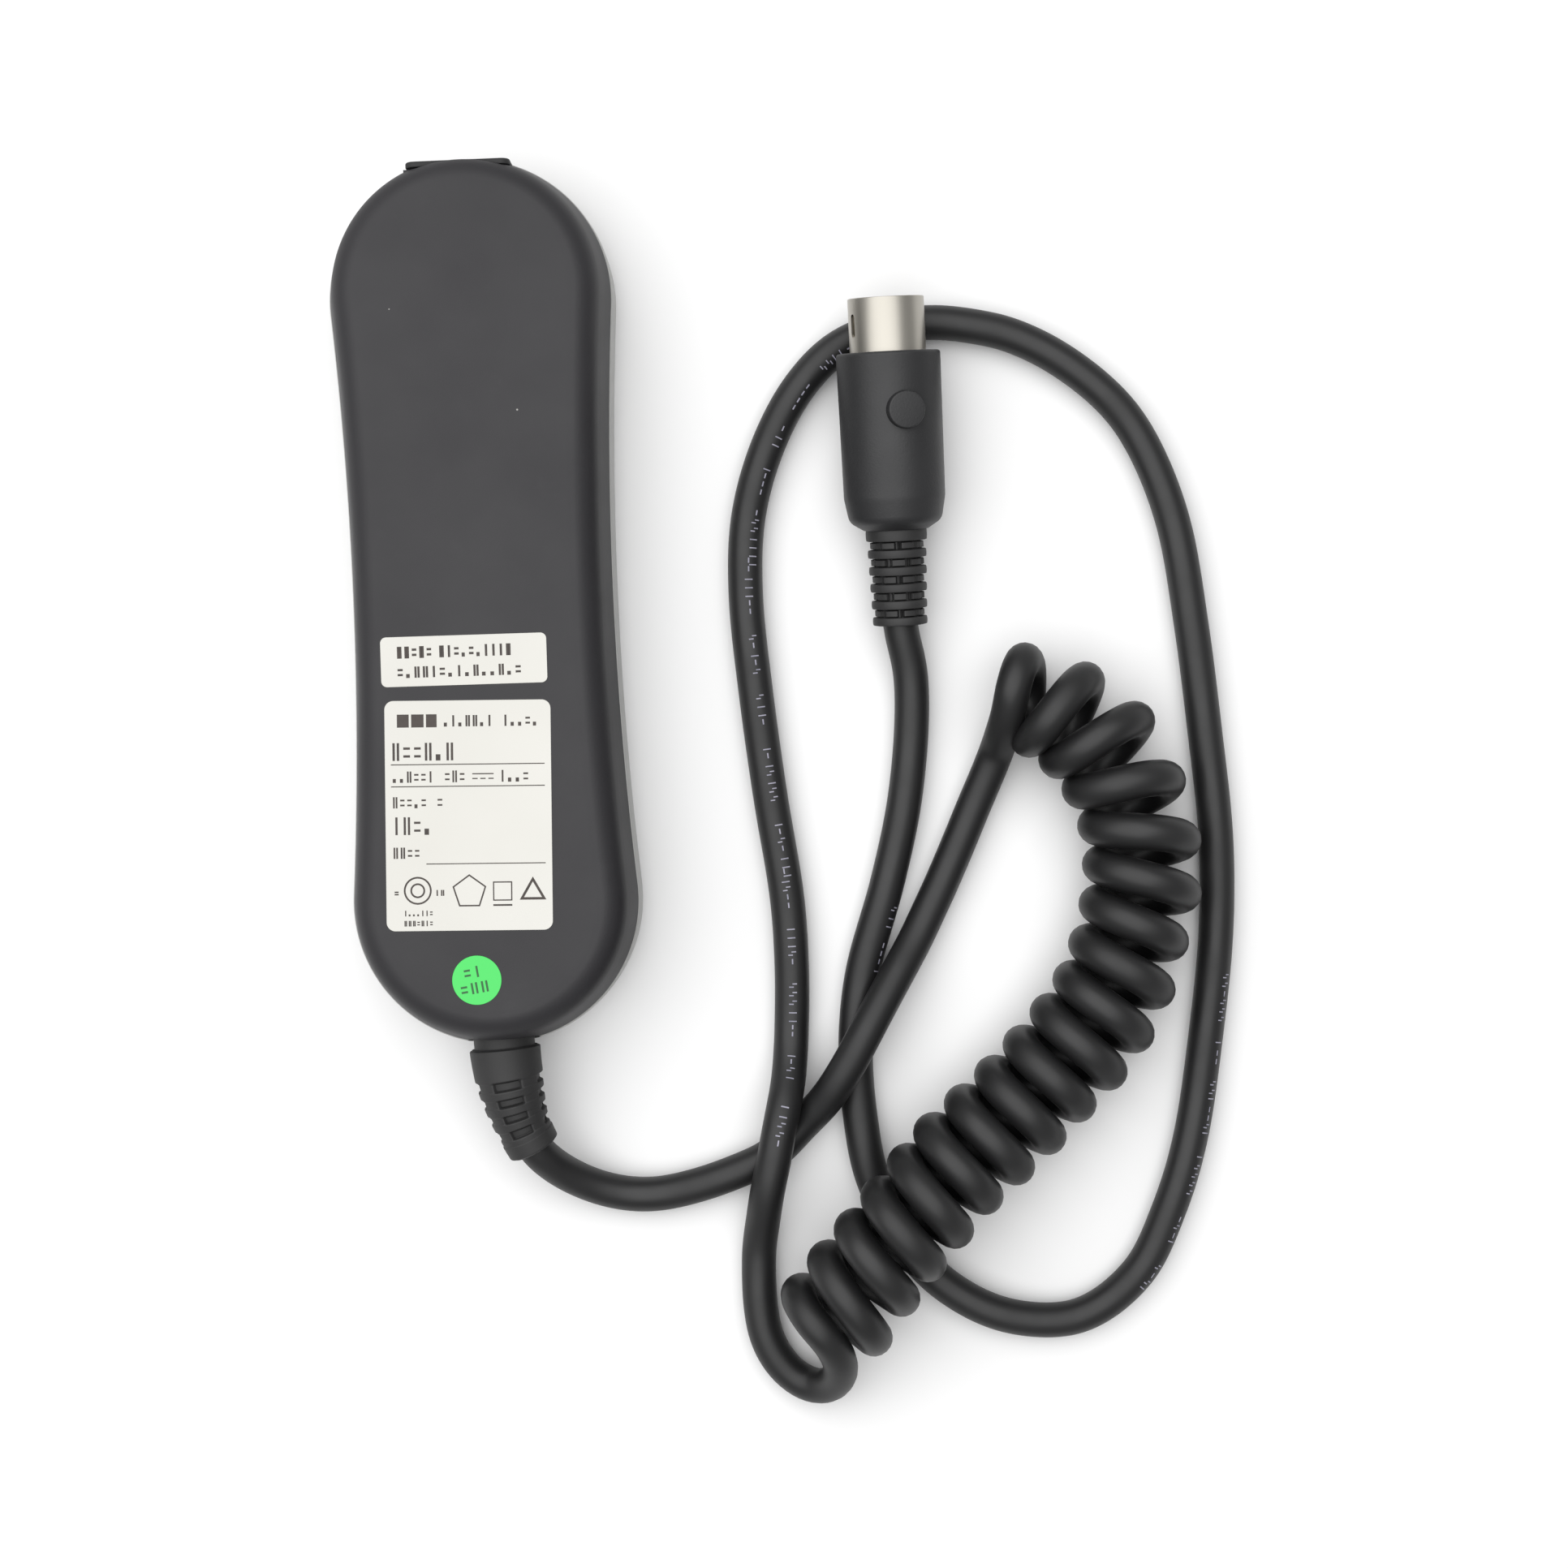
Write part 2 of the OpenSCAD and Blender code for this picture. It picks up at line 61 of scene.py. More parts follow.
def spline(points, per=8):
    """Centripetal Catmull-Rom through points, as an array."""
    p = np.array(points, float)
    p = np.vstack([2 * p[0] - p[1], p, 2 * p[-1] - p[-2]])
    out = []
    for i in range(1, len(p) - 2):
        p0, p1, p2, p3 = p[i - 1], p[i], p[i + 1], p[i + 2]
        t0 = 0.0
        t1 = t0 + max(np.linalg.norm(p1 - p0), 1e-6) ** 0.5
        t2 = t1 + max(np.linalg.norm(p2 - p1), 1e-6) ** 0.5
        t3 = t2 + max(np.linalg.norm(p3 - p2), 1e-6) ** 0.5
        for t in np.linspace(t1, t2, per, endpoint=False):
            a1 = (t1 - t) / (t1 - t0) * p0 + (t - t0) / (t1 - t0) * p1
            a2 = (t2 - t) / (t2 - t1) * p1 + (t - t1) / (t2 - t1) * p2
            a3 = (t3 - t) / (t3 - t2) * p2 + (t - t2) / (t3 - t2) * p3
            b1 = (t2 - t) / (t2 - t0) * a1 + (t - t0) / (t2 - t0) * a2
            b2 = (t3 - t) / (t3 - t1) * a2 + (t - t1) / (t3 - t1) * a3
            out.append((t2 - t) / (t2 - t1) * b1 + (t - t1) / (t2 - t1) * b2)
    out.append(p[-2])
    return np.array(out)


def resample(p, step):
    d = np.r_[0, np.cumsum(np.linalg.norm(np.diff(p, axis=0), axis=1))]
    n = max(2, int(round(d[-1] / step)) + 1)
    s = np.linspace(0, d[-1], n)
    return np.stack([np.interp(s, d, p[:, k]) for k in range(p.shape[1])], 1)


def smooth_line(p, sigma):
    """Gaussian smoothing of an evenly spaced line; its ends stay."""
    r = int(3 * sigma) + 1
    w = np.exp(-0.5 * (np.arange(-r, r + 1) / sigma) ** 2)
    w /= w.sum()
    pad = np.vstack([2 * p[0] - p[r:0:-1], p, 2 * p[-1] - p[-2 : -r - 2 : -1]])
    return np.stack([np.convolve(pad[:, k], w, mode="valid") for k in range(p.shape[1])], 1)


def frames_along(p):
    """Tangent, normal and binormal along a line, without twist."""
    t = np.gradient(p, axis=0)
    t /= np.linalg.norm(t, axis=1)[:, None]
    n = np.zeros_like(t)
    up = vec(0, 0, 1) if abs(t[0][2]) < 0.9 else vec(1, 0, 0)
    n[0] = up - t[0] * (up @ t[0])
    n[0] /= np.linalg.norm(n[0])
    for i in range(1, len(t)):
        v = n[i - 1] - t[i] * (n[i - 1] @ t[i])
        n[i] = v / np.linalg.norm(v)
    return t, n, np.cross(t, n)


def link(name, me, mat, body, rep, smooth):
    bm = bmesh.new()
    bm.from_mesh(me)
    bmesh.ops.recalc_face_normals(bm, faces=bm.faces)
    bm.to_mesh(me)
    bm.free()
    me.shade_smooth()
    me.set_sharp_from_angle(angle=math.radians(smooth))
    ob = bpy.data.objects.new(name, me)
    scene.collection.objects.link(ob)
    if mat is not None:
        me.materials.append(mat)
    if body is not None:
        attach(ob, body)
    if rep:
        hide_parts(*rep)
    return ob


def build(name, verts, faces, mat=None, body="handset", rep=(), smooth=35):
    me = bpy.data.meshes.new(name)
    me.from_pydata((np.asarray(verts, float) * MM).tolist(), [], [list(f) for f in faces])
    me.validate()
    me.update()
    return link(name, me, mat, body, rep, smooth)


def ring_faces(nr, n, first=0, wrap=True):
    """Quads between nr rings of n points each."""
    f = []
    for r in range(nr - 1):
        a, b = first + r * n, first + (r + 1) * n
        for i in range(n if wrap else n - 1):
            j = (i + 1) % n
            f.append((a + i, a + j, b + j, b + i))
    return f


def ring_solid(rings, caps=(True, True)):
    n = len(rings[0])
    v = np.vstack(rings)
    f = ring_faces(len(rings), n)
    if caps[0]:
        f.append(tuple(range(n))[::-1])
    if caps[1]:
        o = (len(rings) - 1) * n
        f.append(tuple(o + i for i in range(n)))
    return v, f


def merge(*parts):
    """Several (verts, faces) as one."""
    vs, fs, o = [], [], 0
    for v, f in parts:
        vs.append(np.asarray(v, float))
        fs += [tuple(o + i for i in x) for x in f]
        o += len(v)
    return np.vstack(vs), fs


def boolean(ob, cutters, op="DIFFERENCE", smooth=35):
    for c in cutters:
        m = ob.modifiers.new("b", "BOOLEAN")
        m.object, m.operation, m.solver = c, op, "EXACT"
    bpy.context.view_layer.update()
    dg = bpy.context.evaluated_depsgraph_get()
    me = bpy.data.meshes.new_from_object(ob.evaluated_get(dg))
    ob.modifiers.clear()
    ob.data = me
    me.shade_smooth()
    me.set_sharp_from_angle(angle=math.radians(smooth))
    for c in cutters:
        bpy.data.objects.remove(c)
    return ob


def tool(verts, faces):
    """A closed mesh used only to cut with."""
    return build("cutter", verts, faces, body=None)


def profile(points, per=6):
    """Smooth open curve through 2-D points."""
    return spline([(a, b) for a, b in points], per)


def fillet_poly(points, per=6):
    """2-D polyline of (x, y, radius): each corner rounded to its radius."""
    out = []
    n = len(points)
    for i, (x, y, r) in enumerate(points):
        p = vec(x, y)
        if i in (0, n - 1) or r <= 0:
            out.append(p)
            continue
        a, b = vec(*points[i - 1][:2]) - p, vec(*points[i + 1][:2]) - p
        la, lb = np.linalg.norm(a), np.linalg.norm(b)
        a, b = a / la, b / lb
        ang = math.acos(max(-1, min(1, a @ b)))
        d = min(r / math.tan(ang / 2), 0.49 * la if i > 1 else 0.98 * la, 0.49 * lb if i < n - 2 else 0.98 * lb)
        rr = d * math.tan(ang / 2)
        c = p + (a + b) / np.linalg.norm(a + b) * (rr / math.sin(ang / 2))
        s, e = p + a * d - c, p + b * d - c
        total = math.acos(max(-1, min(1, (s @ e) / (np.linalg.norm(s) * np.linalg.norm(e)))))
        for k in range(per + 1):
            t = k / per
            out.append(c + (s * math.sin((1 - t) * total) + e * math.sin(t * total)) / max(math.sin(total), 1e-9))
    return np.array(out)


def lathe(prof, segs=96, axis="z", at=(0, 0, 0)):
    """Closed solid of revolution from (radius, height) points; the first and last lie on the axis or are capped."""
    rings, th = [], np.linspace(0, 2 * np.pi, segs, endpoint=False)
    prof = [q for q in prof]
    lo, hi = prof[0][0] < 1e-6, prof[-1][0] < 1e-6
    body = prof[1 if lo else 0 : -1 if hi else None]
    for r, h in body:
        if axis == "z":
            rings.append(np.stack([r * np.cos(th), r * np.sin(th), np.full(segs, h)], 1))
        else:
            rings.append(np.stack([r * np.sin(th), np.full(segs, h), r * np.cos(th)], 1))
    v, f = ring_solid(rings, (not lo, not hi))
    v = v.tolist()
    for end, is_point in ((0, lo), (-1, hi)):
        if is_point:
            h = prof[end][1]
            v.append([0, 0, h] if axis == "z" else [0, h, 0])
            k, o = len(v) - 1, 0 if end == 0 else (len(body) - 1) * segs
            f += [(o + (i + 1) % segs, o + i, k) if end == 0 else (o + i, o + (i + 1) % segs, k) for i in range(segs)]
    return np.array(v) + np.array(at, float), f


def box_mesh(x0, x1, y0, y1, z0, z1):
    v = [(x, y, z) for z in (z0, z1) for x, y in ((x0, y0), (x1, y0), (x1, y1), (x0, y1))]
    f = [(3, 2, 1, 0), (4, 5, 6, 7), (0, 1, 5, 4), (1, 2, 6, 5), (2, 3, 7, 6), (3, 0, 4, 7)]
    return np.array(v, float), f


def round_rect(w, h, r, per=10, c=(0, 0)):
    """Outline of a rounded rectangle, anticlockwise."""
    out = []
    for sx, sy, a0 in ((1, -1, -90), (1, 1, 0), (-1, 1, 90), (-1, -1, 180)):
        for k in range(per + 1):
            a = math.radians(a0 + 90 * k / per)
            out.append((c[0] + sx * (w / 2 - r) + r * math.cos(a), c[1] + sy * (h / 2 - r) + r * math.sin(a)))
    return np.array(out)


def at_z(outline, z):
    return np.column_stack([outline, np.full(len(outline), z)])


def prism(outline, z0, z1):
    return ring_solid([at_z(outline, z0), at_z(outline, z1)])


# ------------------------------------------------------------------ materials
def material(name, color, rough=0.5, metallic=0.0, tint=None, tint_scale=40.0, tint_amt=0.5, rough_amt=0.08,
             rough_scale=60.0, bumps=((2500.0, 0.15, 0.00003),), specks=0.0, speck_color=(0.35, 0.34, 0.32), streak=None,
             spec=None, coat=0.0, scuff=0.0, sheen=0.0):
    """Principled material: colour varies by noise towards tint, roughness by noise, fine bumps of grain.
    specks sets the share of dust specks, scuff the share of fine bright rub marks."""
    m = bpy.data.materials.new(name)
    m.use_nodes = True
    nt = m.node_tree
    nt.nodes.clear()
    N, L = nt.nodes.new, nt.links.new
    out, b = N("ShaderNodeOutputMaterial"), N("ShaderNodeBsdfPrincipled")
    L(b.outputs[0], out.inputs[0])
    tc = N("ShaderNodeTexCoord")
    co = tc.outputs["Object"]
    if streak:
        mp = N("ShaderNodeMapping")
        mp.inputs["Scale"].default_value = streak
        L(co, mp.inputs[0])
        grain = mp.outputs[0]
    else:
        grain = co

    def noise(scale, detail=3.0, src=None, rough_=0.5):
        n = N("ShaderNodeTexNoise")
        n.inputs["Scale"].default_value = scale
        n.inputs["Detail"].default_value = detail
        n.inputs["Roughness"].default_value = rough_
        L(src or grain, n.inputs["Vector"])
        return n.outputs["Fac"]

    def ranged(src, a, b_, c, d):
        r = N("ShaderNodeMapRange")
        for k, x in zip(("From Min", "From Max", "To Min", "To Max"), (a, b_, c, d)):
            r.inputs[k].default_value = x
        L(src, r.inputs["Value"])
        return r.outputs[0]

    def mix(fac, a, b_):
        x = N("ShaderNodeMix")
        x.data_type = "RGBA"
        if isinstance(fac, float):
            x.inputs[0].default_value = fac
        else:
            L(fac, x.inputs[0])
        for k, c in ((6, a), (7, b_)):
            if isinstance(c, tuple):
                x.inputs[k].default_value = (*c, 1)
            else:
                L(c, x.inputs[k])
        return x.outputs[2]

    tint = tint or tuple(min(1, c * 1.35 + 0.002) for c in color)
    base = mix(ranged(noise(tint_scale, 4.0), 0.3, 0.75, 0.0, tint_amt), tuple(color), tuple(tint))
    r = ranged(noise(rough_scale, 4.0), 0.25, 0.75, rough - rough_amt, rough + rough_amt)
    if scuff:
        sc = noise(140.0, 8.0, co, 0.62)
        f = ranged(sc, 0.62, 0.80, 0.0, scuff)
        base = mix(f, base, tuple(min(1, c * 2.0 + 0.03) for c in color))
    if specks:
        vo = N("ShaderNodeTexVoronoi")
        vo.inputs["Scale"].default_value = 240.0
        L(co, vo.inputs["Vector"])
        near = ranged(vo.outputs["Distance"], 0.028, 0.045, 1.0, 0.0)
        sep = N("ShaderNodeSeparateColor")
        L(vo.outputs["Color"], sep.inputs[0])
        some = ranged(sep.outputs[0], 1 - specks, 1 - specks + 0.001, 0.0, 1.0)
        mul = N("ShaderNodeMath")
        mul.operation = "MULTIPLY"
        L(near, mul.inputs[0])
        L(some, mul.inputs[1])
        base = mix(mul.outputs[0], base, speck_color)
    L(base, b.inputs["Base Color"])
    L(r, b.inputs["Roughness"])
    b.inputs["Metallic"].default_value = metallic
    if spec is not None:
        b.inputs["Specular IOR Level"].default_value = spec
    if coat:
        b.inputs["Coat Weight"].default_value = coat
        b.inputs["Coat Roughness"].default_value = 0.12
    if sheen:
        b.inputs["Sheen Weight"].default_value = sheen
    last = None
    for scale, strength, dist in bumps:
        bp = N("ShaderNodeBump")
        bp.inputs["Strength"].default_value = strength
        bp.inputs["Distance"].default_value = dist
        L(noise(scale, 3.0), bp.inputs["Height"])
        if last is not None:
            L(last, bp.inputs["Normal"])
        last = bp.outputs[0]
    if last is not None:
        L(last, b.inputs["Normal"])
    return m


M_REAR = material("rear_charcoal", (0.0140, 0.0132, 0.0156), 0.58, bumps=((3200.0, 0.35, 0.00006), (900.0, 0.12, 0.00008)),
                  tint_scale=30.0, rough_amt=0.05, specks=0.02, scuff=0.10)
M_FRONT = material("front_grey", (0.40, 0.40, 0.39), 0.46, bumps=((3000.0, 0.3, 0.00005), (700.0, 0.1, 0.00008)),
                   tint=(0.44, 0.44, 0.43), tint_scale=35.0, scuff=0.05)
M_PANEL = material("panel_graphite", (0.035, 0.036, 0.040), 0.28, bumps=((500.0, 0.08, 0.00006),), coat=0.3, tint_scale=50.0)
M_KEY = material("key_grey", (0.42, 0.42, 0.415), 0.5, bumps=((2600.0, 0.3, 0.00005),), tint=(0.47, 0.47, 0.46), scuff=0.06)
M_MARK = material("mark_white", (0.80, 0.80, 0.78), 0.5, bumps=((3000.0, 0.2, 0.00002),), tint=(0.72, 0.72, 0.7))
M_PLUNGER = material("plunger_red", (0.55, 0.07, 0.045), 0.45, tint=(0.6, 0.1, 0.06))
M_BLACK = material("part_black", (0.020, 0.020, 0.021), 0.48, bumps=((1800.0, 0.25, 0.00005),))
M_BOARD = material("board_green", (0.012, 0.095, 0.04), 0.36, tint=(0.02, 0.14, 0.06), tint_scale=260.0, tint_amt=0.8,
                   bumps=((900.0, 0.2, 0.00005),))
M_STEEL = material("steel_zinc", (0.62, 0.62, 0.64), 0.34, 1.0, tint=(0.55, 0.56, 0.6), tint_scale=300.0,
                   bumps=((1500.0, 0.15, 0.00003),))
M_NICKEL = material("shield_nickel", (0.46, 0.44, 0.395), 0.40, 1.0, tint=(0.34, 0.32, 0.285), tint_scale=55.0,
                    rough_amt=0.07, rough_scale=90.0, streak=(1.0, 0.12, 1.0), bumps=((700.0, 0.10, 0.00003), (2600.0, 0.05, 0.00002)))
M_TONGUE = material("tongue_blue", (0.015, 0.07, 0.42), 0.33, tint=(0.02, 0.09, 0.5))
M_COVER = material("cover_rubber", (0.0135, 0.0135, 0.014), 0.66, bumps=((2400.0, 0.35, 0.00006), (700.0, 0.1, 0.00008)), specks=0.01)
M_IVORY = material("ivory", (0.72, 0.66, 0.50), 0.35, tint=(0.76, 0.71, 0.56))
M_WIRES = [material("wire_%d" % (i + 1), c, 0.38, tint_scale=200.0, bumps=((1500.0, 0.12, 0.00003),)) for i, c in enumerate(
    [(0.55, 0.02, 0.02)])]
M_CORD = material("cord_jacket", (0.0080, 0.0080, 0.0084), 0.48, tint=(0.0120, 0.0120, 0.0126), tint_scale=70.0, rough_amt=0.07,
                  rough_scale=120.0, bumps=((1500.0, 0.10, 0.00005), (260.0, 0.10, 0.00012)), specks=0.006)
M_LEGEND = material("legend_ink", (0.36, 0.35, 0.42), 0.6, tint=(0.20, 0.20, 0.26), tint_scale=900.0, tint_amt=1.0,
                    bumps=((2500.0, 0.1, 0.00002),))
M_RELIEF = material("relief_rubber", (0.0170, 0.0168, 0.0172), 0.60, tint=(0.025, 0.0248, 0.025), bumps=((2000.0, 0.35, 0.00006), (500.0, 0.15, 0.0001)),
                    specks=0.008)
M_GRIP = material("plug_moulding", (0.0150, 0.0152, 0.0163), 0.52, tint=(0.022, 0.022, 0.024), bumps=((2600.0, 0.40, 0.00007), (800.0, 0.15, 0.00008)),
                  specks=0.010)
M_LABEL = material("label_film", (0.60, 0.59, 0.545), 0.36, tint=(0.67, 0.66, 0.62), tint_scale=22.0, tint_amt=0.9, rough_amt=0.05,
                   bumps=((160.0, 0.10, 0.0002), (2500.0, 0.08, 0.00002)), spec=0.6)
M_INK = material("label_ink", (0.030, 0.022, 0.018), 0.55, tint=(0.055, 0.042, 0.034), tint_scale=500.0, tint_amt=1.0,
                 bumps=((2500.0, 0.1, 0.00002),))
M_STICKER = material("sticker_green", (0.050, 0.62, 0.100), 0.42, tint=(0.065, 0.68, 0.13), tint_scale=60.0,
                     bumps=((300.0, 0.12, 0.0001), (2500.0, 0.1, 0.00002)))
M_STICKER_INK = material("sticker_ink", (0.010, 0.10, 0.022), 0.5, tint=(0.015, 0.13, 0.03), tint_scale=500.0)
M_PIN = material("pin_gold", (0.80, 0.60, 0.28), 0.25, 1.0, tint=(0.74, 0.55, 0.25), tint_scale=200.0,
                 bumps=((1500.0, 0.1, 0.00002),))

for node, mat in {"switch_bodies": M_BLACK, "circuit_board": M_BOARD, "case_screws": M_STEEL, "usb_socket_shell": M_STEEL,
                  "usb_socket_tongue": M_TONGUE, "converter_parts": M_BLACK, "wire_header": M_IVORY,
                  "lead_wires": M_WIRES[0], "cord_stub": M_CORD, "cord_clamp": M_BLACK}.items():
    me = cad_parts[node].data
    me.materials.clear()
    me.materials.append(mat)
for i in range(1, 7):
    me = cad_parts["plunger_%d" % i].data
    me.materials.clear()
    me.materials.append(M_PLUNGER)

# ------------------------------------------------------------------ the cord
CR = 3.05
RELIEF = [[0.3, -76.0, 12], [0.35, -77.4, 12], [0.8, -81.9, 12], [1.5, -86.2, 11.6], [2.3, -89.4, 11.2],
          [3.2, -92.0, 10.8], [4.6, -95.0, 10.2]]
LEAD = [[0.3, -74.5, 12], [0.3, -76.0, 12], [0.8, -81.9, 12], [1.5, -86.2, 11.6], [2.3, -89.4, 11.2], [3.2, -92.0, 10.8],
        [4.6, -95.0, 10.2], [8.5, -99.3, 7.0], [13.9, -102.7, 4.3], [19.4, -104.5, 3.1], [25.1, -104.9, 3.05],
        [32.3, -103.7, 3.05], [39.2, -101.6, 3.05], [45.5, -98.9, 3.05], [51.0, -93.8, 3.8], [55.0, -89.7, 6.3],
        [57.5, -86.3, 8.4], [60, -82.4, 9.4], [64.3, -75.1, 8.8], [68.7, -68, 6.4], [72.3, -62.2, 4], [75.5, -56.2, 3.05],
        [77.2, -52.9, 3.05], [80.7, -45.6, 3.05], [84.1, -38.2, 3.2], [86.3, -33.5, 4.0], [88.0, -29.4, 5.6]]
# the coil: its outer side at each whole turn, its inner side half a turn later, and the height of its centre
OUTER = [[93.3, -14.0], [103.8, -17.9], [112.3, -25.3], [117.2, -36.1], [119.4, -46.6], [119.0, -55.9], [116.4, -64.2],
         [113.7, -72.5], [109.7, -80.0], [104.7, -86.3], [99.1, -91.6], [93.6, -96.9], [87.8, -101.7], [82.0, -106.2],
         [76.6, -111.5], [71.7, -117.0], [67.0, -123.1], [62.0, -130.2], [55.9, -135.0]]
INNER = [[93.2, -28.0], [98.0, -31.9], [101.7, -37.2], [104.1, -43.5], [104.6, -50.2], [103.7, -57.0], [101.6, -63.7],
         [98.6, -69.8], [94.4, -75.3], [89.5, -80.6], [84.3, -85.6], [78.8, -90.2], [73.2, -94.7], [68.4, -99.6],
         [63.6, -104.9], [58.8, -110.4], [54.0, -116.0], [49.1, -121.8]]
MID_Z = [10, 10, 10, 10, 10, 10, 10, 10, 10, 10, 10, 10.8, 12.4, 14.8, 16.6, 16.6, 14.6, 11.8, 11.6]
TAIL = [[52.5, -127.2, 17.7], [55.1, -131.3, 15.3], [56.0, -135.6, 11.2], [54.3, -138.8, 7.0], [51.4, -139.6, 4.3], [48.2, -138.2, 3.15], [45.4, -135.2, 3.05], [43.3, -130.8, 3.05],
        [42.5, -125.7, 3.05], [42.4, -120.4, 3.05], [42.7, -115, 3.6], [43.6, -109.8, 5.8], [44.6, -104.5, 8.6],
        [46, -98.8, 9.5], [47, -94.3, 9.3], [48.1, -89.8, 8.3], [49, -85.9, 6], [49.6, -81.5, 4], [50, -77, 3.05],
        [50.5, -66, 3.05], [50.2, -54, 3.05], [48, -35.7, 3.05], [46.2, -17, 3.05], [45.2, 0, 3.05], [46.2, 13.3, 3.05],
        [50.1, 25.6, 3.05], [56.1, 35.9, 3.05], [63.0, 42.4, 3.05], [71.6, 45.6, 3.05], [80, 46.3, 3.05],
        [88.5, 45.0, 3.05], [93.6, 43.5, 3.05], [100.6, 39.9, 3.05], [108.3, 33.9, 3.05], [113.3, 28.2, 3.05], [117.3, 20.6, 3.05], [121.0, 8.9, 3.05],
        [123.3, -8.6, 3.05], [124.9, -27.6, 3.05], [126.05, -46.2, 3.05], [125.4, -62.6, 3.05], [122.8, -81, 3.05],
        [119.2, -99.5, 3.05], [115, -111.5, 3.05], [109, -122.4, 3.05], [98.5, -129.5, 3.05], [86, -129, 3.05],
        [76, -123.8, 3.05], [69.3, -116.7, 3.05], [63.2, -104, 3.05], [61.4, -92.7, 3.05], [61.1, -80.6, 3.05],
        [62.8, -67.9, 3.05], [67.9, -52, 3.05], [71.5, -38, 3.05], [73.4, -24, 3.2], [73.5, -15, 4.2],
        [72.05, -6.8, 6.08], [71.95, 4.0, 7.5], [71.9, 9.0, 8.1]]


def coil_path():
    """Left-handed turns between the outer and the inner side, closer together where the coil is bent."""
    n = 28
    o = [2 * np.array(OUTER[0]) - OUTER[1]] + [np.array(q) for q in OUTER]
    i_ = [2 * np.array(INNER[0]) - INNER[1]] + [np.array(q) for q in INNER] + [2 * np.array(INNER[-1]) - INNER[-2]]
    out_side, in_side = spline(o, n), spline(i_, n)  # these start at u = -1 and at u = -0.5
    u = np.arange(-5, int(17.68 * n)) / n
    po = np.stack([np.interp(u, np.arange(len(out_side)) / n - 1.0, out_side[:, k]) for k in range(2)], 1)
    pi = np.stack([np.interp(u, np.arange(len(in_side)) / n - 0.5, in_side[:, k]) for k in range(2)], 1)
    phi = 2 * np.pi * u
    xy = (po + pi) / 2 + np.cos(phi)[:, None] * (po - pi) / 2
    z = smooth_line(np.interp(u, np.arange(19), MID_Z)[:, None], 8)[:, 0] - 6.95 * np.sin(phi)
    return np.column_stack([xy, z])


coil = coil_path()
join = [[88.8, -26.6, 9.4], [89.7, -23.2, 13.4]]
line = np.vstack([spline(LEAD + join + [coil[0], coil[4]], 10)[:-11], coil[:-1], spline([coil[-5], coil[-1]] + TAIL, 10)[10:]])
line = resample(line, 0.9)
line = smooth_line(line, 1.3)
soft = smooth_line(line, 3.0)
for end in (coil[0], coil[-1]):
    away = np.arange(len(line)) - int(np.argmin(np.linalg.norm(line - end, axis=1)))
    w = np.exp(-(away / 5.0) ** 2)[:, None]
    line = line * (1 - w) + soft * w
line[:, 2] = np.maximum(line[:, 2], CR)
line = resample(line, 1.0)
T, NN, BB = frames_along(line)
SIDES = 20
th = np.linspace(0, 2 * np.pi, SIDES, endpoint=False)
on_coil = [int(np.argmin(np.linalg.norm(line - q, axis=1))) for q in (coil[0], coil[-1])]
k_ = np.arange(len(line))
girth = 1 + 0.04 * np.clip((k_ - on_coil[0]) / 12.0, 0, 1) * np.clip((on_coil[1] - k_) / 12.0, 0, 1)  # wound cord spreads a little
rings = [line[i] + CR * girth[i] * (np.outer(np.cos(th), NN[i]) + np.outer(np.sin(th), BB[i])) for i in range(len(line))]
rings = [np.vstack([line[0] * 0.7 + rings[0] * 0 + (rings[0] - line[0]) * 0.7 + line[0] * 0.3])] + rings + \
        [np.vstack([(rings[-1] - line[-1]) * 0.7 + line[-1]])]
v, f = ring_solid(rings)
v[:, 2] = np.maximum(v[:, 2], 0.0)
cord = build("cord", v, f, M_CORD, rep=("cord_lead", "cord_coil", "cord_main"), smooth=60)

# printed legend: short plain dashes in the runs where the jacket shows its print, laid on the surface
arc = np.r_[0, np.cumsum(np.linalg.norm(np.diff(line, axis=0), axis=1))]


def on_cord(s, angle, lift):
    """Point on the jacket at arc length s. angle 0 is the upper side and 90 the right of travel."""
    p = np.array([np.interp(s, arc, line[:, k]) for k in range(3)])
    t = np.array([np.interp(s, arc, T[:, k]) for k in range(3)])
    t /= np.linalg.norm(t)
    up = vec(0, 0, 1) - t * t[2]
    up /= np.linalg.norm(up)
    right = np.cross(t, up)
    a = math.radians(angle)
    return p + (CR + lift) * (up * math.cos(a) + right * math.sin(a))


def legend(s0, s1, angle, seed):
    rnd = np.random.default_rng(seed)
    parts = []
    s = s0
    while s < s1:
        for _ in range(int(rnd.integers(3, 8))):
            w = 1.15
            kind = int(rnd.integers(0, 3))
            marks = [(0.0, 0.2, -13, 13)] if kind == 0 else [(0.0, w * 0.8, -2.2, 2.2)] if kind == 1 else \
                [(0.0, 0.2, -13, 2), (0.55, 0.75, -2, 13)]
            for a0, a1, g0, g1 in marks:
                top, bot = [], []
                for k in range(2):
                    for j in range(5):
                        g = angle + g0 + (g1 - g0) * j / 4
                        q = s + (a0, a1)[k]
                        top.append(on_cord(q, g, 0.022))
                        bot.append(on_cord(q, g, -0.05))
                vv = np.array(top + bot)
                ff = []
                for j in range(4):
                    ff += [(j, j + 1, j + 6, j + 5), (10 + j, 10 + j + 5, 10 + j + 6, 10 + j + 1)]
                    ff += [(j, 10 + j, 10 + j + 1, j + 1), (5 + j, 5 + j + 1, 15 + j + 1, 15 + j)]
                ff += [(0, 5, 15, 10), (4, 14, 19, 9)]
                parts.append((vv, ff))
            s += w + 0.35
        s += float(rnd.uniform(2.2, 3.4))
    return merge(*parts)


